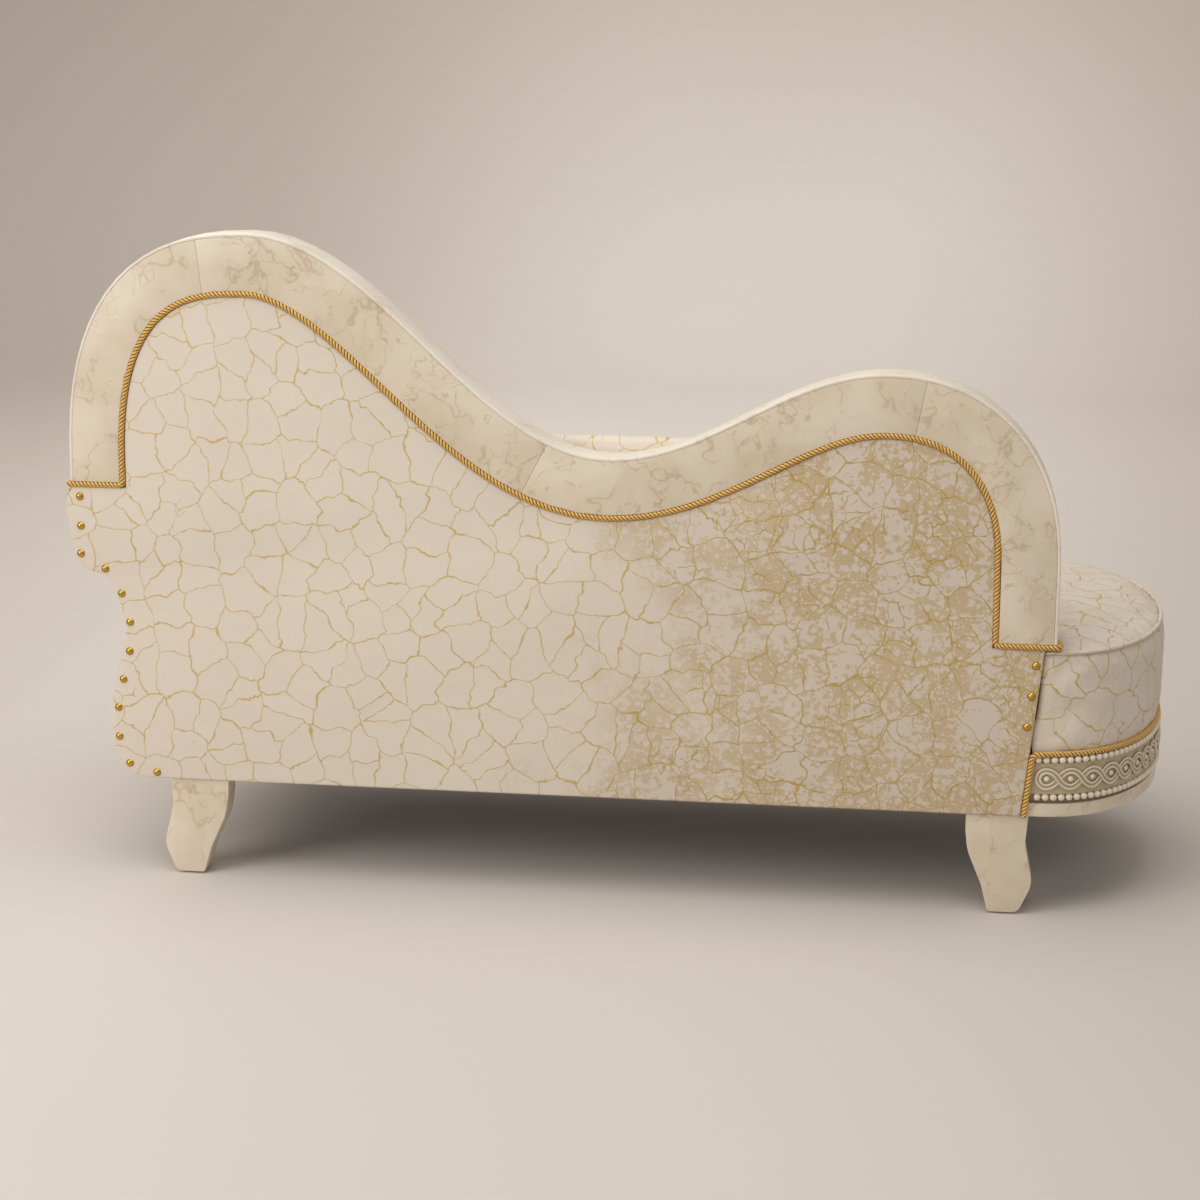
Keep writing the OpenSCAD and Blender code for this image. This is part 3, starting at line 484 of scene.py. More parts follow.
def nudged(tree, where, scale, reach, detail=2.0, strength=None):
    """Coordinates pushed about by a coloured noise, by reach metres each way."""
    cloud = put(tree, "ShaderNodeTexNoise", Vector=where, Scale=scale, Detail=detail)
    push = vector_node(tree, "SUBTRACT", cloud.outputs["Color"], (0.5, 0.5, 0.5))
    if strength is not None:
        push = vector_node(tree, "MULTIPLY", push, strength)
    return vector_node(tree, "MULTIPLY_ADD", push, (2 * reach,) * 3, where)


def new_group(name, inputs, outputs):
    """A node group: inputs are a vector and named numbers with their values, outputs are named numbers."""
    tree = bpy.data.node_groups.new(name, "ShaderNodeTree")
    tree.interface.new_socket("Vector", in_out="INPUT", socket_type="NodeSocketVector")
    for label, value in inputs.items():
        tree.interface.new_socket(label, in_out="INPUT", socket_type="NodeSocketFloat").default_value = value
    for label in outputs:
        tree.interface.new_socket(label, in_out="OUTPUT", socket_type="NodeSocketFloat")
    return tree, tree.nodes.new("NodeGroupInput").outputs, tree.nodes.new("NodeGroupOutput").inputs


def place_group(tree, group, **inputs):
    node = tree.nodes.new("ShaderNodeGroup")
    node.node_tree = group
    for key, value in inputs.items():
        feed(tree, value, node.inputs[key])
    return node.outputs


def new_material(name):
    """A material's tree, its Principled shader and its Object coordinates."""
    material = finishes[name] = bpy.data.materials.new(name + "_finish")
    material.use_nodes = True
    tree = material.node_tree
    return tree, tree.nodes["Principled BSDF"], tree.nodes.new("ShaderNodeTexCoord").outputs["Object"]


def wear(tree, shader, **sockets):
    """Links values to the shader's named sockets."""
    for key, value in sockets.items():
        tree.links.new(value, shader.inputs[key.replace("_", " ")])


def plain(shader, **values):
    """Sets values that are the same all over on the shader's own sockets."""
    for key, value in values.items():
        shader.inputs[key.replace("_", " ")].default_value = value


def bump(tree, shader, height, strength, distance):
    node = put(tree, "ShaderNodeBump", Height=height, Strength=strength, Distance=distance)
    tree.links.new(node.outputs["Normal"], shader.inputs["Normal"])


# %% [markdown]
# Veins, as in marble or its printed likeness, are places where a noise passes through its middle
# value: the nearer to that value, the darker. A second noise breaks them up, so they fade in and out.

# %% Group: veins
veins, given, out = new_group("veins", {"Scale": 6.0, "Width": 0.02}, ["Mask"])
bent = nudged(veins, given["Vector"], scale=11.0, reach=0.05, detail=4.0)
field = noise(veins, bent, given["Scale"], 3.5, 0.55)
off_middle = math_node(veins, "ABSOLUTE", minus(veins, field, 0.5))
line = math_node(veins, "SUBTRACT", 1.0, math_node(veins, "DIVIDE", off_middle, given["Width"]), clamp=True)
fade = between(veins, noise(veins, given["Vector"], 17.0, 2.0), 0.32, 0.52)
veins.links.new(times(veins, line, fade), out["Mask"])

# %% [markdown]
# The crackle of the cloth is a net of thin gold lines round uneven cells. A Voronoi texture measures
# the distance to the nearest cell edge; coordinates pushed about by noise make the lines wander, and
# in some places jagged. A finer net shows here and there, which divides some of the cells.

# %% Group: crackle
crackle, given, out = new_group("crackle", {"Width": 0.0007, "Fine": 0.58}, ["Line", "Cell"])
cells_per_metre, fine_cells_per_metre = 20.0, 36.0
drift = nudged(crackle, given["Vector"], scale=8.0, reach=0.018, detail=0.5)
wander = nudged(crackle, drift, scale=28.0, reach=0.013, detail=0.5)
rough_places = between(crackle, noise(crackle, given["Vector"], 17.0, 1.0), 0.42, 0.6)
shaken = nudged(crackle, wander, scale=72.0, reach=0.0046, detail=0.5)
jagged = nudged(crackle, shaken, scale=170.0, reach=0.0022, detail=0.5, strength=rough_places)
swelling = math_node(crackle, "MULTIPLY_ADD", noise(crackle, given["Vector"], 40.0, 2.0), 0.9, 0.55)
half = times(crackle, given["Width"], swelling)


def crackle_line(per_metre, faint, full):
    """A net of lines: faint and full are the distances, in half widths, where a line starts and fills."""
    edge = voronoi(crackle, jagged, per_metre, "DISTANCE_TO_EDGE")["Distance"]
    edge = math_node(crackle, "DIVIDE", edge, per_metre)
    return between(crackle, math_node(crackle, "DIVIDE", edge, half), faint, full)


wide_line = crackle_line(cells_per_metre, 1.5, 0.6)
fine_line = crackle_line(fine_cells_per_metre, 1.2, 0.5)
where_fine = noise(crackle, given["Vector"], 11.0, 1.0)
shown = between(crackle, where_fine, given["Fine"], plus(crackle, given["Fine"], 0.02))
crackle.links.new(math_node(crackle, "MAXIMUM", wide_line, times(crackle, fine_line, shown)), out["Line"])
tone = channels_of(crackle, voronoi(crackle, jagged, cells_per_metre)["Color"])
crackle.links.new(tone[0], out["Cell"])

# %% [markdown]
# Pebble shapes lie in the mottled part of the cloth: round spots of many sizes, of which some show.

# %% Group: pebbles
pebbles, given, out = new_group("pebbles", {"Scale": 60.0, "Share": 0.5}, ["Mask"])
shaky = nudged(pebbles, given["Vector"], scale=70.0, reach=0.0028, detail=1.0)
spots = voronoi(pebbles, shaky, given["Scale"])
tone = channels_of(pebbles, spots["Color"])
size = math_node(pebbles, "MULTIPLY_ADD", times(pebbles, tone[1], tone[1]), 0.34, 0.10)
inside = between(pebbles, minus(pebbles, spots["Distance"], size), 0.0, -0.06)
chosen = math_node(pebbles, "LESS_THAN", tone[0], given["Share"])
pebbles.links.new(times(pebbles, inside, chosen), out["Mask"])

# %% [markdown]
# Weave is two crossed waves. It is far too fine to model, so it only lifts the surface in the light.

# %% Group: weave
weave, given, out = new_group("weave", {"Threads": 900.0}, ["Height"])
scaled = put(weave, "ShaderNodeVectorMath", {"operation": "SCALE"},
             i0=given["Vector"], Scale=given["Threads"])
axes = parts_of(weave, scaled.outputs[0])
along = math_node(weave, "SINE", plus(weave, axes["X"], axes["Y"]))
across = math_node(weave, "SINE", minus(weave, axes["Z"], minus(weave, axes["Y"], axes["X"])))
weave.links.new(times(weave, along, across), out["Height"])

# %% [markdown]
# The marbled facing is a hard, satin surface: cream with thin brownish veins and soft cloudy tones.

# %% Material: marble
def marble_finish(name, light, shade, rough, shade_band=None, veined=1.0):
    """The band of heights, if given, that painted shade darkens, as in the groove over the plinth; veined:
    how strongly.
    """
    tree, shader, where = new_material(name)
    cloud = noise(tree, where, 7.0, 5.0, 0.6)
    base = mixed(tree, between(tree, cloud, 0.35, 0.68), screen(*light), screen(*shade))
    for scale, width, strength, tone in ((7.0, 0.10, 0.12, (198, 174, 144)),
                                         (7.0, 0.012, 0.44, (172, 140, 110)),
                                         (15.0, 0.011, 0.42, (176, 144, 116))):
        vein = place_group(tree, veins, Vector=where, Scale=scale, Width=width)["Mask"]
        base = mixed(tree, times(tree, vein, strength * veined), base, screen(*tone))
    if shade_band:
        height, soft = parts_of(tree, where)["Z"], 0.001
        over = between(tree, height, shade_band[0] - soft, shade_band[0])
        under = between(tree, height, shade_band[1] + soft, shade_band[1])
        # Painted shade: a dark brown laid into the groove over the plinth.
        base = mixed(tree, times(tree, times(tree, over, under), 0.75), base, screen(92, 72, 52))
    wear(tree, shader, Base_Color=base, Roughness=plus(tree, times(tree, cloud, 0.2), rough - 0.1))
    plain(shader, Coat_Weight=0.12, Coat_Roughness=0.25)
    bump(tree, shader, noise(tree, where, 120.0, 3.0), 0.12, 0.0006)


groove_z = leg_h + plinth_h
cream, shaded_cream = (226, 213, 191), (213, 198, 172)
marble_finish("marble", cream, shaded_cream, 0.40)
marble_finish("painted_timber", (220, 206, 182), (206, 190, 162), 0.46, veined=0.6)
marble_finish("plinth_marble", cream, shaded_cream, 0.40, shade_band=(groove_z + 0.0005, groove_z + groove_h))
# The crest's top edge gets a paler copy of the marble with fainter veins: the paleness is painted light on
# its upward face.
marble_finish("marble_edge", (236, 227, 212), (226, 215, 197), 0.44, veined=0.5)

# %% [markdown]
# The cloth is off-white with fine gold crackle. Towards the foot end it turns mottled: a beige ground
# with pale patches and pebbles. The change follows the couch's length, so it is driven by X, and the
# crackle follows the cloth's own flat map, which is in metres.

# %% Material: crackle cloth
def mottled_ground(tree, flat, cloud, cell):
    """The colour of the mottled cloth: pale patches and pebbles of a twill on a beige ground."""
    ragged = noise(tree, flat, 96.0, 6.0, 0.64)
    cover = plus(tree, times(tree, noise(tree, flat, 15.0, 2.0), 0.75), times(tree, cell, 0.08))
    shapes = between(tree, plus(tree, ragged, cover), 0.925, 0.94)
    for scale, share in ((64.0, 0.7), (150.0, 0.6)):
        spots = place_group(tree, pebbles, Vector=flat, Scale=scale, Share=share)["Mask"]
        shapes = math_node(tree, "MAXIMUM", shapes, spots)
    ground = mixed(tree, cloud, screen(204, 183, 148), screen(190, 167, 130))
    axes = parts_of(tree, flat)
    twill = math_node(tree, "SINE", times(tree, plus(tree, axes["X"], axes["Y"]), 1900.0))
    in_twill = math_node(tree, "MULTIPLY_ADD", twill, 0.5, 0.5)
    pale = mixed(tree, in_twill, screen(222, 209, 197), screen(208, 195, 182))
    return mixed(tree, times(tree, shapes, 0.82), ground, pale)


def cloth_finish(name, mottle, pale, line_width, starts=-0.10):
    """mottle: how strongly the beige ground shows; starts: where along the couch it begins."""
    tree, shader, where = new_material(name)
    flat = tree.nodes.new("ShaderNodeTexCoord").outputs["UV"]
    drift = times(tree, minus(tree, noise(tree, where, 5.0, 3.0, 0.6), 0.5), 0.9)
    place = minus(tree, drift, parts_of(tree, where)["X"])
    towards_foot = times(tree, between(tree, place, starts, starts + 0.42), mottle)
    silk = noise(tree, where, 140.0, 4.0, 0.7)
    cloud = noise(tree, where, 6.0, 4.0, 0.6)
    clean = mixed(tree, cloud, screen(*pale), screen(*(c - 8 for c in pale)))
    fine_from = minus(tree, 0.72, times(tree, towards_foot, 0.22))
    net = place_group(tree, crackle, Vector=flat, Width=line_width, Fine=fine_from)
    base = mixed(tree, towards_foot, clean, mottled_ground(tree, flat, cloud, net["Cell"]))
    base = mixed(tree, times(tree, minus(tree, 1.0, net["Cell"]), 0.08), base, screen(200, 180, 156))
    gold = mixed(tree, towards_foot, screen(200, 174, 98), screen(186, 158, 76))
    lines = times(tree, net["Line"], 0.9)
    polish = times(tree, lines, 0.25)
    wear(tree, shader, Base_Color=mixed(tree, lines, base, gold), Metallic=polish,
         Roughness=minus(tree, plus(tree, times(tree, silk, 0.2), 0.58), polish))
    plain(shader, Sheen_Weight=0.1, Specular_IOR_Level=0.4)
    threads = times(tree, place_group(tree, weave, Vector=where, Threads=2600.0)["Height"], 0.25)
    relief = plus(tree, plus(tree, threads, times(tree, silk, 0.8)), times(tree, lines, 0.8))
    bump(tree, shader, relief, 0.3, 0.0007)


cloth_finish("crackle_cloth", 1.0, (227, 215, 200), 0.0008)
cloth_finish("seat_cloth", 0.3, (228, 218, 205), 0.0010, starts=0.2)
cloth_finish("pad_cloth", 0.25, (230, 218, 202), 0.0010, starts=0.2)

# %% [markdown]
# The cord is spun from gold yarn, so it is silky rather than metal. Each point of a rope says how far
# it stands out from the rope's middle, and painted shade darkens the valleys between the strands by that.

# %% Material: gold cord
def cord_finish():
    tree, shader, where = new_material("gold_cord")
    yarn = noise(tree, where, 900.0, 3.0, 0.6)
    outer = put(tree, "ShaderNodeAttribute", {"attribute_name": "outer"}).outputs["Fac"]
    bright = mixed(tree, between(tree, yarn, 0.3, 0.7), screen(214, 156, 62), screen(248, 206, 114))
    # Painted shade: a dark brown fills the valleys between the strands.
    base = mixed(tree, between(tree, outer, 0.5, 1.0), screen(72, 38, 6), bright)
    wear(tree, shader, Base_Color=base)
    plain(shader, Metallic=0.15, Roughness=0.4, Sheen_Weight=0.2)
    bump(tree, shader, yarn, 0.4, 0.0005)


cord_finish()

# %% Material: brass and steel
def metal_finish(name, colour, dull, rough):
    tree, shader, where = new_material(name)
    worn = noise(tree, where, 70.0, 4.0, 0.6)
    wear(tree, shader, Base_Color=mixed(tree, worn, screen(*colour), screen(*dull)),
         Roughness=plus(tree, times(tree, worn, 0.16), rough))
    plain(shader, Metallic=1.0)
    bump(tree, shader, worn, 0.1, 0.0004)


metal_finish("brass", (220, 184, 92), (166, 126, 50), 0.12)
metal_finish("steel", (190, 190, 192), (150, 150, 154), 0.35)

# %% [markdown]
# The carving is painted ivory. Dirt stays in its grain, painted shade darkens the grooves of the bands, and
# the ground between the bands is darker.

# %% Material: carved ivory
def carved_finish(name, high, low, groove_shade=None):
    """The colour, if given, of painted shade in the grooves, where the piece says how high each point stands.
    """
    tree, shader, where = new_material(name)
    grain = noise(tree, where, 240.0, 4.0, 0.65)
    cloud = noise(tree, where, 30.0, 3.0, 0.6)
    share = math_node(tree, "MULTIPLY_ADD", cloud, 0.5, -0.05)
    base = mixed(tree, plus(tree, share, times(tree, grain, 0.5)), screen(*high), screen(*low))
    if groove_shade:
        height = put(tree, "ShaderNodeAttribute", {"attribute_name": "outer"}).outputs["Fac"]
        # Painted shade: the band is darker where its surface lies low, in its grooves.
        base = mixed(tree, between(tree, height, 0.35, 0.95), screen(*groove_shade), base)
    wear(tree, shader, Base_Color=base, Roughness=plus(tree, times(tree, grain, 0.2), 0.32))
    bump(tree, shader, grain, 0.35, 0.0008)


carved_finish("carved_ivory", (230, 218, 196), (208, 194, 168), groove_shade=(150, 128, 96))
carved_finish("carved_ground", (200, 182, 150), (172, 152, 118))
carved_finish("bead_ivory", (240, 229, 211), (214, 200, 176))

# %% Materials inside the frame
def timber_finish():
    tree, shader, where = new_material("timber")
    long = put(tree, "ShaderNodeMapping", Vector=where, Scale=(2.0, 14.0, 14.0)).outputs[0]
    rings = noise(tree, long, 4.0, 6.0, 0.6, Distortion=1.2)
    base = mixed(tree, between(tree, rings, 0.3, 0.7), screen(186, 146, 100), screen(216, 180, 132))
    wear(tree, shader, Base_Color=base)
    plain(shader, Roughness=0.62)
    bump(tree, shader, rings, 0.2, 0.001)


def plain_cloth_finish(name, light, dark, threads, rough):
    tree, shader, where = new_material(name)
    cloudy = noise(tree, where, 60.0, 4.0)
    wear(tree, shader, Base_Color=mixed(tree, cloudy, screen(*light), screen(*dark)))
    plain(shader, Roughness=rough)
    bump(tree, shader, place_group(tree, weave, Vector=where, Threads=threads)["Height"], 0.5, 0.001)


timber_finish()
plain_cloth_finish("undercloth", (218, 204, 184), (196, 180, 156), 1500.0, 0.9)
plain_cloth_finish("jute", (184, 150, 102), (150, 118, 74), 1400.0, 0.85)
plain_cloth_finish("black_cloth", (46, 45, 46), (30, 29, 30), 2200.0, 0.8)
plain_cloth_finish("foam", (240, 228, 180), (228, 214, 160), 700.0, 0.9)
plain_cloth_finish("glide", (70, 66, 60), (52, 49, 45), 500.0, 0.5)

# %% [markdown]
# Every node of the frame gets its finish from the list below. Nodes that new pieces stand for are
# hidden later, piece by piece.

# %% Finishes of the frame's nodes
finish_of = {
    "marble": ["leg_rear_head", "leg_rear_foot", "leg_front_head", "leg_front_foot", "plinth_strip",
               "crest_facing_foot", "crest_facing_low", "crest_facing_high", "crest_facing_head"],
    "marble_edge": ["crest_edge"],
    "timber": ["rail_rear", "rail_front", "rail_head", "end_rail_rear", "end_rail_mid", "end_rail_front",
               "cross_rails", "corner_blocks", "back_board", "back_posts", "arm_former_rear",
               "arm_former_front", "arm_side_rib", "arm_rails"],
    "painted_timber": ["crest_rail_foot", "crest_rail_mid", "crest_rail_head"],
    "jute": ["webbing_cross", "webbing_long", "deck_cloth"],
    "undercloth": ["back_hessian"],
    "black_cloth": ["dust_cover"],
    "foam": ["seat_foam", "arm_pad"],
    "glide": ["foot_glides"],
    "steel": ["leg_bolts"],
    "brass": ["nails_head", "nails_foot"],
    "gold_cord": ["back_rope", "arm_rope", "end_rope"],
    "carved_ivory": ["guilloche_bands", "guilloche_bosses"],
    "bead_ivory": ["bead_row_upper", "bead_row_lower"],
    "carved_ground": ["moulding_ground"],
    "crackle_cloth": ["back_panel", "seat_border", "seat_cover", "seat_piping", "arm_cover", "arm_facing",
                      "back_pad", "head_pad", "back_buttons"],
}
for finish, names in finish_of.items():
    for name in names:
        nodes[name].data.materials.clear()
        nodes[name].data.materials.append(finishes[finish])
print("finished nodes", sum(len(names) for names in finish_of.values()))

# %% [markdown]
# The backdrop is matt paper. Painted shade darkens it towards the sides and up the wall, where the light
# falls off.

# %% Backdrop's finish
tree, shader, where = new_material("backdrop_paper")
place = parts_of(tree, where)
cloud = noise(tree, where, 0.9, 2.0)
# Painted shade: the paper darkens up the wall and away from the middle, as the light falls off there.
side_shade = between(tree, math_node(tree, "ABSOLUTE", plus(tree, place["X"], -0.25)), 0.4, 2.2)
falloff_shaded_paper = mixed(tree, between(tree, place["Z"], 0.1, 2.0), screen(215, 207, 199), screen(184, 173, 162))
falloff_shaded_paper = mixed(tree, times(tree, side_shade, 0.65), falloff_shaded_paper, screen(178, 164, 152))
wear(tree, shader, Base_Color=mixed(tree, times(tree, cloud, 0.25), falloff_shaded_paper, screen(196, 184, 172)))
plain(shader, Roughness=0.9)
backdrop.data.materials.append(finishes["backdrop_paper"])

# %% [markdown]
# The timber and marbled parts of the frame have the right shapes, but real edges are never razor sharp.
# A copy of each visible one is welded, its flat faces are joined again, and a small bevel catches the
# light along its edges. Next to each other, the facing's four pieces then show hairline joints.

# %% Softened edges
def softened(node, width, finish, slot, angle=35):
    """Stands in for a node with a copy whose sharp edges are rounded."""
    piece = nodes[node].copy()
    piece.data = nodes[node].data.copy()
    piece.name = node + "_soft"
    bpy.context.scene.collection.objects.link(piece)
    piece.hide_render = piece.hide_viewport = False
    pick(piece)
    bpy.ops.object.mode_set(mode="EDIT")
    bpy.ops.mesh.select_all(action="SELECT")
    bpy.ops.mesh.remove_doubles(threshold=0.00002)
    bpy.ops.mesh.dissolve_limited(angle_limit=math.radians(0.5))
    bpy.ops.object.mode_set(mode="OBJECT")
    if width:
        bevel = piece.modifiers.new("edges", "BEVEL")
        bevel.width, bevel.segments, bevel.limit_method = width, 3, "ANGLE"
        bevel.angle_limit = math.radians(angle)
        apply_modifiers(piece)
    flat_uv(piece)
    dress(piece, finish, slot, node)
    return piece


facing_round, strip_round, leg_round = 0.0013, 0.0015, 0.002
for node in ("crest_facing_foot", "crest_facing_low", "crest_facing_high", "crest_facing_head"):
    softened(node, facing_round, "marble", "marble")
softened("crest_edge", strip_round, "marble_edge", "marble_edge")
for node in ("leg_rear_head", "leg_rear_foot", "leg_front_head", "leg_front_foot"):
    softened(node, leg_round, "marble", "marble", angle=30)
softened("plinth_strip", strip_round, "plinth_marble", "marble")

# %% [markdown]
# The outside back is cloth drawn tight over a thin pad, so its edge rolls under the rope. It is drawn
# from its outline, given its thickness, and its front edge is rounded with a bevel.

# %% Outside back panel
set_in, panel_play, panel_back, panel_round = band_w + rope_gap, 0.001, 0.002, 0.0035
panel_head_h, panel_foot_h = head_facing_h - rope_gap, foot_facing_h - rope_gap
panel_outline = cleaned(np.vstack([
    crest_in(set_in)[1:-1],
    [(head_x - side_in(set_in), panel_head_h), (head_x - panel_play, panel_head_h)],
    arm_side[arm_side[:, 1] < panel_head_h - panel_play],
    [(panel_foot_low_x, leg_h), (panel_foot_top_x, panel_foot_h), (back_foot_x + set_in, panel_foot_h)],
]))
panel = piece_from("panel", [(x, board_y, z) for x, z in panel_outline], [tuple(range(len(panel_outline)))])
pick(panel)
bpy.ops.object.mode_set(mode="EDIT")
bpy.ops.mesh.select_all(action="SELECT")
bpy.ops.mesh.extrude_region_move(TRANSFORM_OT_translate={"value": (0, rear_y - panel_back - board_y, 0)})
bpy.ops.mesh.select_all(action="SELECT")
bpy.ops.mesh.normals_make_consistent(inside=False)
bpy.ops.mesh.select_all(action="DESELECT")
shape = bmesh.from_edit_mesh(panel.data)
for edge in shape.edges:
    if all(v.co.y > board_y + facing_t / 2 for v in edge.verts):
        edge.select_set(True)
bmesh.update_edit_mesh(panel.data)
bpy.ops.mesh.bevel(offset=panel_round, segments=4, profile=0.5, affect="EDGES")
bpy.ops.object.mode_set(mode="OBJECT")
flat_uv(panel)
dress(panel, "crackle_cloth", "fabric", "back_panel", smooth=60)

# %% [markdown]
# A twisted cord is three strands laid round a common line. The frame that turns with the line is carried
# from point to point, so the twist stays even where the cord bends out of its plane.

# %% Twisted rope
lay, lay_steps, strand_sides = 0.018, 14, 8
strand_r, strand_out, valley_d = 0.0022, 0.0024, 0.0020
any_side = (0.31, 0.89, 0.33)


def ways_along(line):
    """The direction of a path at each of its points."""
    way = np.gradient(line, axis=0)
    return way / np.linalg.norm(way, axis=1)[:, None]


def twisted_rope(name, line, node):
    line = resampled(line, lay / lay_steps)
    for _ in range(3):
        line[1:-1] = (line[:-2] + 2 * line[1:-1] + line[2:]) / 4
    tangent = ways_along(line)
    side = np.empty_like(line)
    side[0] = unit(np.cross(tangent[0], any_side))
    for i in range(1, len(line)):
        side[i] = unit(side[i - 1] - tangent[i] * (side[i - 1] @ tangent[i]))
    up = np.cross(tangent, side)
    turn = 2 * math.pi * np.arange(len(line)) / lay_steps
    t = 2 * math.pi * np.arange(strand_sides) / strand_sides
    strands = []
    for k in range(3):
        angle = turn + 2 * math.pi * k / 3
        out = side * np.cos(angle)[:, None] + up * np.sin(angle)[:, None]
        centre = line + strand_out * out
        around = np.cross(ways_along(centre), out)
        rings = [centre[i] + strand_r * (np.cos(t)[:, None] * out[i] + np.sin(t)[:, None] * around[i])
                 for i in range(len(line))]
        strands.append(lofted(name + "_strand", rings))
    rope = strands[0]
    pick(rope)
    for strand in strands[1:]:
        strand.select_set(True)
    bpy.ops.object.join()
    rope.name = name
    per_strand = np.tile(np.repeat(np.arange(len(line)), strand_sides), 3)
    from_middle = np.linalg.norm(points_of(rope) - line[per_strand], axis=1)
    # How far each point stands out from the middle; the cord's finish paints shade into the valleys by it.
    outer = rope.data.attributes.new("outer", "FLOAT", "POINT")
    outer.data.foreach_set("value", np.clip((from_middle - strand_out) / valley_d, 0, 1))
    dress(rope, "gold_cord", "gold_rope", node, smooth=0)


# %% Rope round the back's facing
rope_in = band_w + rope_gap / 2
rope_foot_z, rope_head_z = foot_facing_h - rope_gap / 2, head_facing_h - rope_gap / 2
rope_foot_x, rope_head_x = back_foot_x - rope_gap / 2, head_x + rope_gap / 2
inner = crest_in(rope_in)
turned_foot = rounded([(rope_foot_x, core_y - rope_d, 0), (rope_foot_x, rope_y, rope_d),
                       (back_foot_x + rope_d, rope_y, 0)])
foot_corner = rounded([(back_foot_x + 2 * rope_d, rope_foot_z, 0),
                       (back_foot_x + rope_in, rope_foot_z, rope_gap / 2), tuple(inner[6]) + (0,)])
head_corner = rounded([tuple(inner[-3]) + (0,), (head_x - side_in(rope_in), rope_head_z, rope_gap / 2),
                       (head_x - 2 * rope_d, rope_head_z, 0)])
turned_head = rounded([(head_x - rope_d, rope_y, 0), (rope_head_x, rope_y, rope_d),
                       (rope_head_x, board_y + fit, 0)])
back_line = cleaned(np.vstack([
    [(x, y, rope_foot_z) for x, y in turned_foot],
    [(x, rope_y, z) for x, z in foot_corner],
    [(x, rope_y, z) for x, z in inner[7:-3]],
    [(x, rope_y, z) for x, z in head_corner],
    [(x, y, rope_head_z) for x, y in turned_head],
]))
twisted_rope("facing_rope", back_line, "back_rope")

# %% Rope at the foot edge and along the moulding
rope_z = rail_top + rope_d / 2 + fit


def foot_edge_x(z):
    """Where the panel's leaning edge stands at a height."""
    lean = panel_foot_top_x - panel_foot_low_x
    return panel_foot_low_x + lean * (z - leg_h) / (foot_facing_h - rope_gap - leg_h)


def corner_rope_x(z):
    return foot_edge_x(z) - rope_d / 2 - 2 * fit


corner = rounded([(corner_rope_x(leg_h), leg_h + fit, 0), (corner_rope_x(rope_z), rope_z, rope_d),
                  (corner_rope_x(rope_z) - 2 * rope_d, rope_z, 0)])
past_corner_x = corner_rope_x(rope_z) - 4 * rope_d
round_end = [p for p in beside(plan, rope_d / 8) if p[0] < past_corner_x or p[1] < end_mid_y]
end_line = cleaned([(x, rope_y, z) for x, z in corner] + [(x, y, rope_z) for x, y in round_end])
twisted_rope("base_rope", end_line, "end_rope")

# %% Rope along the arm's rear edge
arm_line = beside(arm_side, -rope_d / 6)[:-1]
twisted_rope("arm_edge_rope", [(x, board_y - rope_d / 2, z) for x, z in arm_line], "arm_rope")

# %% [markdown]
# Padded pieces are blown up a little by a cloth simulation. Pinned points hold the cover where it is
# nailed, sewn or buttoned, and inside pressure rounds what lies between. The cloth is cut slightly too
# large, which gives it its small wrinkles. How far a point may move is capped, so it stays off its
# neighbours.

# %% Cloth simulation
def inflate(piece, pins, cap, pressure, spare, frames=20):
    """pins: how firmly each point is held, 0 to 1. cap: how far each may move."""
    start = points_of(piece)
    group = piece.vertex_groups.new(name="pins")
    pins = np.asarray(pins, float)
    for level in (1.0, 0.8, 0.6, 0.4, 0.2):
        at = np.nonzero((pins > level - 0.1) & (pins <= level + 0.1))[0]
        if len(at):
            group.add([int(i) for i in at], level, "REPLACE")
    cloth = piece.modifiers.new("cloth", "CLOTH")
    settings = cloth.settings
    settings.quality = 4
    settings.mass = 0.3
    settings.tension_stiffness = settings.compression_stiffness = 15
    settings.bending_stiffness = 0.4
    settings.use_pressure = True
    settings.uniform_pressure_force = pressure
    settings.shrink_min = -spare
    settings.vertex_group_mass = "pins"
    settings.pin_stiffness = 1.0
    settings.effector_weights.gravity = 0
    cloth.collision_settings.use_collision = False
    scene = bpy.context.scene
    scene.frame_start, scene.frame_end = 1, frames
    for frame_number in range(1, frames + 1):
        scene.frame_set(frame_number)
    settled = piece.evaluated_get(bpy.context.evaluated_depsgraph_get())
    moved = np.empty(len(start) * 3)
    settled.to_mesh().vertices.foreach_get("co", moved)
    moved = moved.reshape(-1, 3)
    settled.to_mesh_clear()
    piece.modifiers.remove(cloth)
    scene.frame_set(1)
    way = moved - start
    far = np.linalg.norm(way, axis=1)
    limit = np.broadcast_to(np.asarray(cap, float), far.shape)
    kept = limit * np.tanh(far / np.maximum(limit, 1e-6)) / np.maximum(far, 1e-9)
    move_points(piece, start + way * kept[:, None])
    print(piece.name, "moved by", round(float((far * kept).max()) * 1000, 1), "mm at most")


def subdivided(piece):
    """Smooths the simulated folds with one step of subdivision."""
    finer = piece.modifiers.new("finer", "SUBSURF")
    finer.levels = finer.render_levels = 1
    apply_modifiers(piece)


# %% [markdown]
# The seat is one crowned cushion with a rounded end. Its starting solid runs from the rope up its side
# wall, over the sewn edge and in to a soft crown. A voxel remesh turns it into even faces for the cloth.

# %% Seat cushion
panel_near, panel_lap = 0.02, 0.0015


def seat_line(d):
    """The seat's edge, set in by d, from the back round the end and along the front to the arm."""
    line = beside(plan, d)
    start = [p for p in line if p[0] < panel_foot_top_x - 0.001 and p[1] > end_mid_y]
    rest = [p for p in line if p[1] <= end_mid_y]
    return np.array([(panel_foot_top_x - fit, line[0][1])] + start + rest)


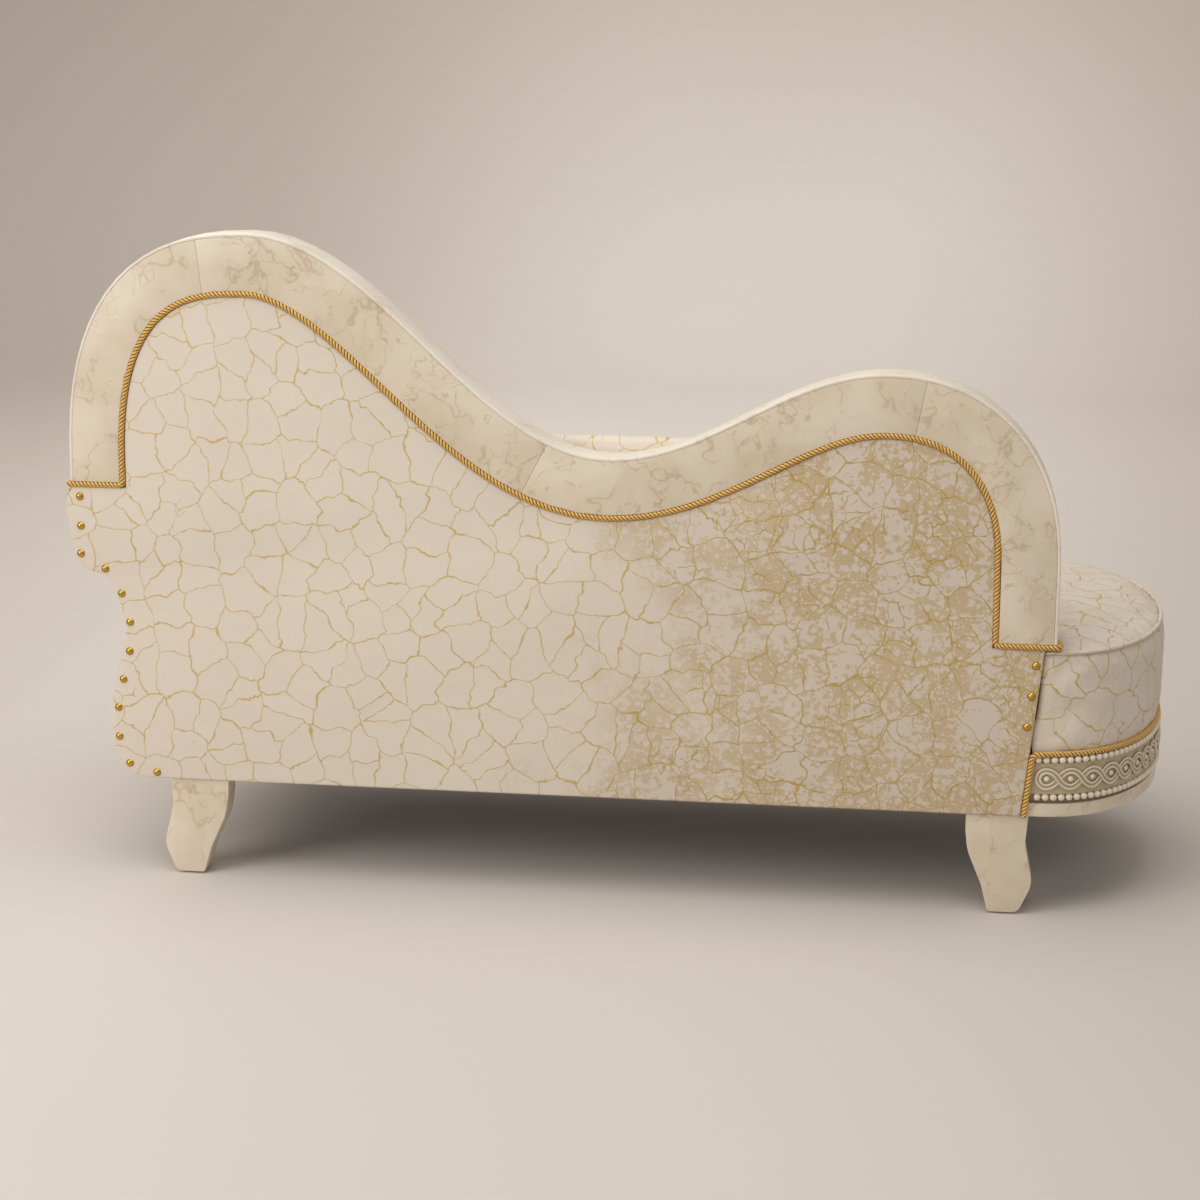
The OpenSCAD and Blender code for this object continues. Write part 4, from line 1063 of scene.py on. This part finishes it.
def seat_ring(d, z, toward=0.0):
    """The cushion's outline at a height, set in by d and then drawn in towards its middle by a share."""
    back = pad_front_y + 0.002
    corners = cleaned(np.vstack([
        seat_line(d),
        [(arm_in_x - fit, front_y + d), (arm_in_x - fit, back), (panel_foot_top_x - fit, back)]]))
    ring = np.vstack([resampled(corners[:-2], count=220), resampled(corners[-3:-1], count=30)[1:],
                      resampled(corners[-2:], count=90)[1:], resampled(corners[[-1, 0]], count=24)[1:-1]])
    beside_panel = (ring[:, 0] > panel_foot_top_x - panel_near) & (ring[:, 1] > core_y)
    ring[beside_panel, 0] += max(0, foot_edge_x(z) - panel_foot_top_x) + panel_lap
    middle = np.stack([np.clip(ring[:, 0], end_x, arm_in_x - end_curve / 2),
                       np.full(len(ring), (front_y + pad_front_y) / 2)], 1)
    ring = ring + (middle - ring) * toward
    return np.column_stack([ring, np.full(len(ring), z)])


wall = [seat_ring(d, z) for d, z in (
    (0.002, border_z - 0.008), (0.002, border_z - 0.004), (0.002, border_z + 0.05),
    (0.001, seat_h - 0.02), (0.001, seat_h - 0.004), (0.005, seat_h))]
sewn_in, crown_rise, crown_shares = 0.010, 0.020, (0.0, 0.04, 0.1, 0.2, 0.34, 0.5, 0.7, 0.86)
crown = [seat_ring(sewn_in, seat_h + 0.001 + crown_rise * (1 - (1 - t) ** 3), t) for t in crown_shares]
seat = lofted("seat_cushion", wall + crown)
remesh = seat.modifiers.new("even", "REMESH")
remesh.mode, remesh.voxel_size = "VOXEL", 0.011
apply_modifiers(seat)
relax = seat.modifiers.new("relax", "SMOOTH")
relax.factor, relax.iterations = 0.5, 2
apply_modifiers(seat)

# %% [markdown]
# The cushion is held at its lower edge, at the sewn edge, and where it meets the back and the arm. Its
# flat map runs round the side wall, and lies flat on top, well away from the wall's own part of the map.

# %% Seat cushion filled and mapped
seam_near, seam_h, wall_hold = 0.009, 0.0075, 0.006
back_hold, panel_hold, arm_hold = 0.010, 0.006, 0.008
top_cap, side_cap, map_away = 0.010, 0.0045, 3
edge_points = resampled(seat_line(0.004), 0.004)
x, y, z = points_of(seat).T
_, from_edge = nearest_on(edge_points, np.stack([x, y], 1))
at_seam = (np.abs(z - (seat_h - 0.001)) < seam_h) & (from_edge < seam_near)
at_back = (y > pad_front_y - back_hold) & (x > panel_foot_top_x - panel_hold)
held = (z < border_z + wall_hold) | at_seam | at_back | (x > arm_in_x - arm_hold)
caps = np.where(z > seat_h, top_cap, side_cap)
inflate(seat, np.where(held, 1.0, 0.0), caps, pressure=3.0, spare=0.03, frames=16)
subdivided(seat)
x, y, z = points_of(seat).T
upward = normals_of(seat)[:, 2] > 0.55
nearest, _ = nearest_on(edge_points, np.stack([x, y], 1))
lay_uv(seat, np.where(upward, x + map_away, distances(edge_points)[nearest]),
       np.where(upward, y + map_away, z))
dress(seat, "seat_cloth", "fabric", "seat_cover", "seat_border", "seat_foam", smooth=0)

# %% [markdown]
# The piping is a thin covered cord in the sewn edge. It swells a little between its stitches.

# %% Seat piping
piping_r, piping_in, piping_sides, stitch_swell, stitch_turns = 0.0030, 0.0035, 10, 0.0002, 300
piping_line = beside(plan, piping_in)
piping = [p for p in piping_line if p[0] < panel_foot_top_x - 0.001 or p[1] < end_mid_y]
piping = cleaned([(panel_foot_top_x - fit, piping_line[0][1])] + piping)
piping = resampled(np.column_stack([piping, np.full(len(piping), seat_h)]), 0.006)
side, up = np.cross(ways_along(piping), (0, 0, 1)), np.array((0, 0, 1))
t = 2 * math.pi * np.arange(piping_sides) / piping_sides
swell = piping_r + stitch_swell * np.sin(distances(piping) * stitch_turns)
rings = [piping[i] + swell[i] * (np.cos(t)[:, None] * side[i] + np.sin(t)[:, None] * up)
         for i in range(len(piping))]
piping_piece = lofted("piping", rings)
around = np.arange(piping_sides) * 0.0022
lay_uv(piping_piece, np.repeat(distances(piping), piping_sides), np.tile(around, len(piping)))
dress(piping_piece, "seat_cloth", "fabric", "seat_piping", smooth=0)

# %% [markdown]
# The inside back is deep-buttoned. Between the buttons the padding swells into diamonds; above the top
# row its folds run straight up. The starting form is a grid whose depth follows that pattern, finer than
# the frame's own, and the simulation then fills the cells out.

# %% Form of the padding
pad_drop, tuft_d, pad_dip_h, hessian_t, pad_play = 0.024, 0.024, 0.706, 0.0015, 0.0017
pad_edge_t, pad_round = 0.4 * pad_t, 0.8 * pad_t
pad_foot_x, pad_head_x = back_foot_x + pad_drop, head_x - pad_drop
pad_back_y = pad_y - hessian_t - fit
tufts_across, tufts_up = 9, 4
steps_across, steps_up = 20, 14
tuft_pitch, tuft_rise = 0.147, 0.112
cell_power, pleat_power = 0.42, 0.84


def pad_top(x):
    """The padding's top edge: it follows the crest, and stays level in the dip."""
    top = np.interp(x, crest[:, 0], crest[:, 1]) - 1.4 * pad_drop
    in_dip = (x > foot_crown[0]) & (x < head_crown[0])
    return np.where(in_dip, np.maximum(top, pad_dip_h), top)


def fullness(u, v):
    """0 at a button and along the folds, 1 in the middle of a cell; u and v count tufts."""
    diamonds = np.abs(np.sin(math.pi * (u + v)) * np.sin(math.pi * (u - v))) ** cell_power
    pleats = np.abs(np.cos(math.pi * u)) ** pleat_power
    return np.where(v < 0.5, pleats, diamonds)


def padding(name, x0, x1, z0, columns, rows, tufts=None):
    """Padding across the back. Gives the piece, and for its front's grid u, v, fullness and places."""
    i, k = np.meshgrid(np.arange(columns + 1) / columns, np.arange(rows + 1) / rows, indexing="ij")
    x = x0 + (x1 - x0) * i
    z1 = pad_top(x0 + pad_drop / 2 + (x1 - x0 - pad_drop) * i)
    z = z1 + (z0 - z1) * k
    u, v = (i * tufts[0], k * tufts[1]) if tufts else (i, k)
    full = fullness(u, v) if tufts else np.ones_like(u)
    side_d = np.minimum(z1 - z, np.minimum(x - x0, x1 - x))
    round_off = np.sqrt(np.clip(1 - (1 - np.minimum(1, side_d / pad_round)) ** 2, 0, 1))
    out = pad_edge_t + (pad_t - pad_play - pad_edge_t - tuft_d * (1 - full)) * round_off
    front = np.stack([x, pad_back_y - out, z], 2)
    rings = [np.vstack([(x[c, 0], pad_back_y, z0), (x[c, 0], pad_back_y, z1[c, 0]), front[c]])
             for c in range(columns + 1)]
    return lofted(name, rings), u, v, full, front


# %% Inside back padding
back_padding, u, v, full, front = padding(
    "back_padding", pad_foot_x, arm_in_x - fit, foam_z + fit,
    tufts_across * steps_across, tufts_up * steps_up, (tufts_across, tufts_up))
tuft_u, tuft_v = np.round(u * 2) / 2, np.round(v * 2) / 2
is_tuft = (np.round(tuft_u * 2) + np.round(tuft_v * 2)) % 2 == 0
to_tuft = np.where(is_tuft, np.hypot((u - tuft_u) * tuft_pitch, (v - tuft_v) * tuft_rise), 1.0)
button_hold, in_fold, fold_hold, rows_behind_seat = 0.010, 0.42, 0.4, 8
grid_pins = np.where(to_tuft < button_hold, 1.0, np.where(full < in_fold, fold_hold, 0.0))
grid_pins[:, :1] = grid_pins[:, -rows_behind_seat:] = 1.0
grid_pins[:2] = grid_pins[-2:] = 1.0
pins = np.hstack([np.ones((len(u), 2)), grid_pins]).ravel()
inflate(back_padding, pins, 0.008, pressure=5.0, spare=0.045)
subdivided(back_padding)
flat_uv(back_padding)
dress(back_padding, "pad_cloth", "fabric", "back_pad", smooth=0)

# %% Padding over the arm
head_columns, head_rows = 26, 40
head_padding, *_ = padding("head_padding", arm_in_x, pad_head_x, arm_h + fit, head_columns, head_rows)
pins = np.zeros((head_columns + 1, head_rows + 3))
pins[:, :3] = pins[:, -2:] = 1.0
pins[:2] = pins[-2:] = 1.0
inflate(head_padding, pins.ravel(), 0.006, pressure=5.0, spare=0.03)
subdivided(head_padding)
flat_uv(head_padding)
dress(head_padding, "pad_cloth", "fabric", "head_pad", smooth=0)

# %% [markdown]
# What repeats is modelled once and copied: buttons, beads and bosses. Each copy is turned about Z and
# set in its place, and all of one kind are one piece.

# %% Copies of one form
def copied(name, original, places, turns=None):
    """Copies a form to many places and removes the original."""
    base = points_of(original)
    faces = [tuple(p.vertices) for p in original.data.polygons]
    bpy.data.objects.remove(original)
    points, all_faces = [], []
    for n, place in enumerate(places):
        angle = turns[n] if turns is not None else 0.0
        c, s = math.cos(angle), math.sin(angle)
        points.append(base @ np.array(((c, s, 0), (-s, c, 0), (0, 0, 1))) + np.asarray(place))
        all_faces += [tuple(k + n * len(base) for k in face) for face in faces]
    return piece_from(name, np.vstack(points), all_faces)


# %% [markdown]
# A covered button is a flattened ball with a faint pucker round its rim. One sits at every tuft that is
# well clear of the padding's edge and of the seat.

# %% Covered buttons
button_r, button_front, button_rear, button_stand = 0.0115, 0.52, 0.25, 0.004
pucker, puckers, seat_clear = 0.02, 5, 0.022
bpy.ops.object.select_all(action="DESELECT")
bpy.ops.mesh.primitive_uv_sphere_add(segments=20, ring_count=10, radius=button_r)
button = bpy.context.object
co = points_of(button)
co[:, 1] *= np.where(co[:, 1] < 0, button_front, button_rear)
co *= 1 + pucker * np.sin(np.arctan2(co[:, 2], co[:, 0]) * puckers)[:, None]
move_points(button, co)
at_tuft = []
for a in range(1, 2 * tufts_across):
    for b in range(1, 2 * tufts_up):
        p = front[a * steps_across // 2, b * steps_up // 2]
        clear = min(p[0] - pad_foot_x, arm_in_x - p[0], float(pad_top(p[0])) - p[2])
        if (a + b) % 2 == 0 and clear > 0.8 * pad_round and p[2] > seat_h + crown_h + seat_clear:
            at_tuft.append(p + (0, -button_stand, 0))
buttons = copied("covered_buttons", button, at_tuft)
flat_uv(buttons)
dress(buttons, "pad_cloth", "fabric", "back_buttons", smooth=0)
print("buttons", len(at_tuft))

# %% [markdown]
# The arm is one wrap of padded cloth: under the belly, up the outside, over the scroll and down into
# the seat. Its section is carried from the back to the front facing, with a strip behind for the back.

# %% Arm
def shell_ring(outer, thick, step):
    """A closed section from its outer line, and how many of its points lie on that line."""
    outer_points = resampled(outer, step)
    outline = np.vstack([outer_points, resampled(beside(outer, thick), 2 * step)[::-1]])
    return np.column_stack([outline[:, 0], np.zeros(len(outline)), outline[:, 1]]), len(outer_points)


arm_pad_t, arm_step, arm_front_in, strip_t, strip_step = 0.018, 0.0095, 0.012, 0.0056, 0.008
arm_rear_y, arm_front_y = pad_back_y, front_y + arm_front_in
section, outer_count = shell_ring(arm_wrap, arm_pad_t, arm_step)
arm_ys = np.linspace(arm_rear_y, arm_front_y, 58)
arm = lofted("arm_upholstery", [section + (0, y, 0) for y in arm_ys])
pins = np.ones((len(arm_ys), len(section)))
pins[3:-2, 3:outer_count - 3] = 0.0
inflate(arm, pins.ravel(), 0.006, pressure=4.0, spare=0.03, frames=16)
subdivided(arm)
behind = arm_side[(arm_side[:, 1] < head_facing_h - fit) & (arm_side[:, 0] > rail_end_x)][::-1]
strip_section, _ = shell_ring(behind, strip_t, strip_step)
strip = lofted("arm_strip", [strip_section + (0, y, 0) for y in np.linspace(board_y - rope_d, arm_rear_y, 5)])
pick(arm)
strip.select_set(True)
bpy.ops.object.join()
co = points_of(arm)
wrap_line = resampled(arm_wrap, 0.004)
nearest, _ = nearest_on(wrap_line, co[:, [0, 2]])
lay_uv(arm, distances(wrap_line)[nearest], co[:, 1])
dress(arm, "crackle_cloth", "fabric", "arm_cover", "arm_pad", smooth=50)
facing = softened("arm_facing", 0.004, "crackle_cloth", "fabric", angle=40)

# %% [markdown]
# The carved moulding runs round the rounded end and along the front. Two grooved bands start in one
# loop and pass over and under each other; a boss sits in each eye, between two rows of beads.

# %% Places along the base
plan_sums, plan_way = distances(plan), ways_along(plan)
plan_out = np.stack([plan_way[:, 1], -plan_way[:, 0]], 1)


def on_base(s, out, z):
    """Points on the base: s along it, out from its face and up."""
    s, out, z = np.broadcast_arrays(np.asarray(s, float), out, z)
    normal = np.stack([np.interp(s, plan_sums, plan_out[:, k]) for k in (0, 1)], -1)
    normal /= np.linalg.norm(normal, axis=-1)[..., None]
    place = np.stack([np.interp(s, plan_sums, plan[:, k]) for k in (0, 1)], -1) + normal * out[..., None]
    return np.concatenate([place, z[..., None]], -1)


def out_angle(s):
    """Which way the base faces at s along it."""
    normal = on_base(s, 1.0, 0.0) - on_base(s, 0.0, 0.0)
    return np.arctan2(normal[..., 1], normal[..., 0])


# %% Beads
bead_d, bead_pitch = 0.0092, 0.012
bead_r, squareness, bead_long, bead_low = 0.0050, 2.7, 1.06, 0.95
moulding_z = leg_h + plinth_h + groove_h
bead_low_z = moulding_z + bead_d / 2 + 2 * fit
bead_up_z = moulding_z + moulding_h - bead_d / 2 - 2 * fit
bead_from = panel_foot_low_x - corner_rope_x(rope_z) + rope_d / 2 + bead_d / 2 + fit
bead_count = int((plan_sums[-1] - bead_from - bead_pitch) / bead_pitch)
bead_at = bead_from + bead_pitch * np.arange(bead_count + 1)
for row, z in (("upper", bead_up_z), ("lower", bead_low_z)):
    bpy.ops.object.select_all(action="DESELECT")
    bpy.ops.mesh.primitive_ico_sphere_add(subdivisions=2, radius=bead_r)
    bead = bpy.context.object
    co = points_of(bead)
    co /= np.maximum((np.abs(co / bead_r) ** squareness).sum(1) ** (1 / squareness), 0.5)[:, None]
    move_points(bead, co * (1, bead_long, bead_low))
    beads = copied("beads_" + row, bead, on_base(bead_at, 0.0, z), out_angle(bead_at))
    dress(beads, "bead_ivory", "carved", "bead_row_" + row, smooth=0)

# %% Interlaced bands
knot_h, knot_pitch, strand_w, strand_t = 0.0126, 0.036, 0.005, 0.0033
crossing_rise, wave_power, band_widen, band_lift = 0.34, 0.8, 1.04, 1.15
knot_z = (bead_low_z + bead_up_z) / 2
knot_from = bead_from + knot_h + strand_w - bead_d / 2
knot_count = int((plan_sums[-1] - knot_from) / knot_pitch - 0.5)
knot_steps, loop_steps = 14, 8
half_profile_shares = [(0, .5), (.2, .58), (.42, .86), (.64, 1), (.84, .88), (.96, .5), (1, 0)]
band_profile = np.array([(-a, b) for a, b in half_profile_shares[:0:-1]] + half_profile_shares)


def band_line(flip):
    """Middle line of one band as columns: along the base, height, rise."""
    t = np.radians(np.maximum(90 * (1 + np.arange(-loop_steps, 0) / loop_steps), 1.0))
    loop = np.stack([knot_from - knot_h * np.cos(t), knot_z + flip * knot_h * np.sin(t),
                     np.full(len(t), strand_t)], 1)
    i = np.arange(knot_count * knot_steps + 1)
    turn, c = math.pi * i / knot_steps, np.cos(math.pi * i / knot_steps)
    wave = np.stack([knot_from + i * knot_pitch / knot_steps,
                     knot_z + flip * knot_h * np.sign(c) * np.abs(c) ** wave_power,
                     strand_t * (1 + crossing_rise * flip * np.sin(turn))], 1)
    return np.vstack([loop, wave])


bands = []
for flip in (1, -1):
    line = band_line(flip)
    way = np.gradient(line[:, :2], axis=0)
    way[0] = (0, flip)
    way /= np.linalg.norm(way, axis=1)[:, None]
    bed = fit * (1.25 + flip / 4)
    rings = []
    for (s, z, rise), (ds, dz) in zip(line, way):
        across, high = band_profile[:, 0] * strand_w * band_widen, band_profile[:, 1] * rise * band_lift
        rings.append(on_base(s - across * dz, bed + high, z + across * ds))
    bands.append(lofted("band", rings))
pick(bands[0])
bands[1].select_set(True)
bpy.ops.object.join()
bands[0].name = "interlaced_bands"
# How high each point of a band stands, which its finish uses for painted shade in the grooves.
outer = bands[0].data.attributes.new("outer", "FLOAT", "POINT")
outer.data.foreach_set("value", np.tile(band_profile[:, 1], len(outer.data) // len(band_profile)))
dress(bands[0], "carved_ivory", "carved", "guilloche_bands", smooth=50)

# %% Bosses
boss_r, boss_low = 0.0046, 0.95
bpy.ops.object.select_all(action="DESELECT")
bpy.ops.mesh.primitive_uv_sphere_add(segments=12, ring_count=8, radius=boss_r)
boss = bpy.context.object
co = points_of(boss)
co[:, 0] = np.maximum(co[:, 0], 0) * boss_low + fit
move_points(boss, co)
boss_at = knot_from + knot_pitch * np.arange(knot_count + 1)
bosses = copied("bosses", boss, on_base(boss_at, 0.0, knot_z), out_angle(boss_at))
dress(bosses, "bead_ivory", "carved", "guilloche_bosses", smooth=0)

# %% [markdown]
# The nails are domes that were turned from the solid: welding their loose triangles and smoothing them
# is all they need. The black dust cover under the frame is a stretched sheet, and its box is read off its
# node.

# %% Nails and dust cover
for node in ("nails_head", "nails_foot"):
    softened(node, 0.0, "brass", "brass")
dust_cover = softened("dust_cover", 0.0, "black_cloth", "black_cloth")
low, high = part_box("dust_cover")
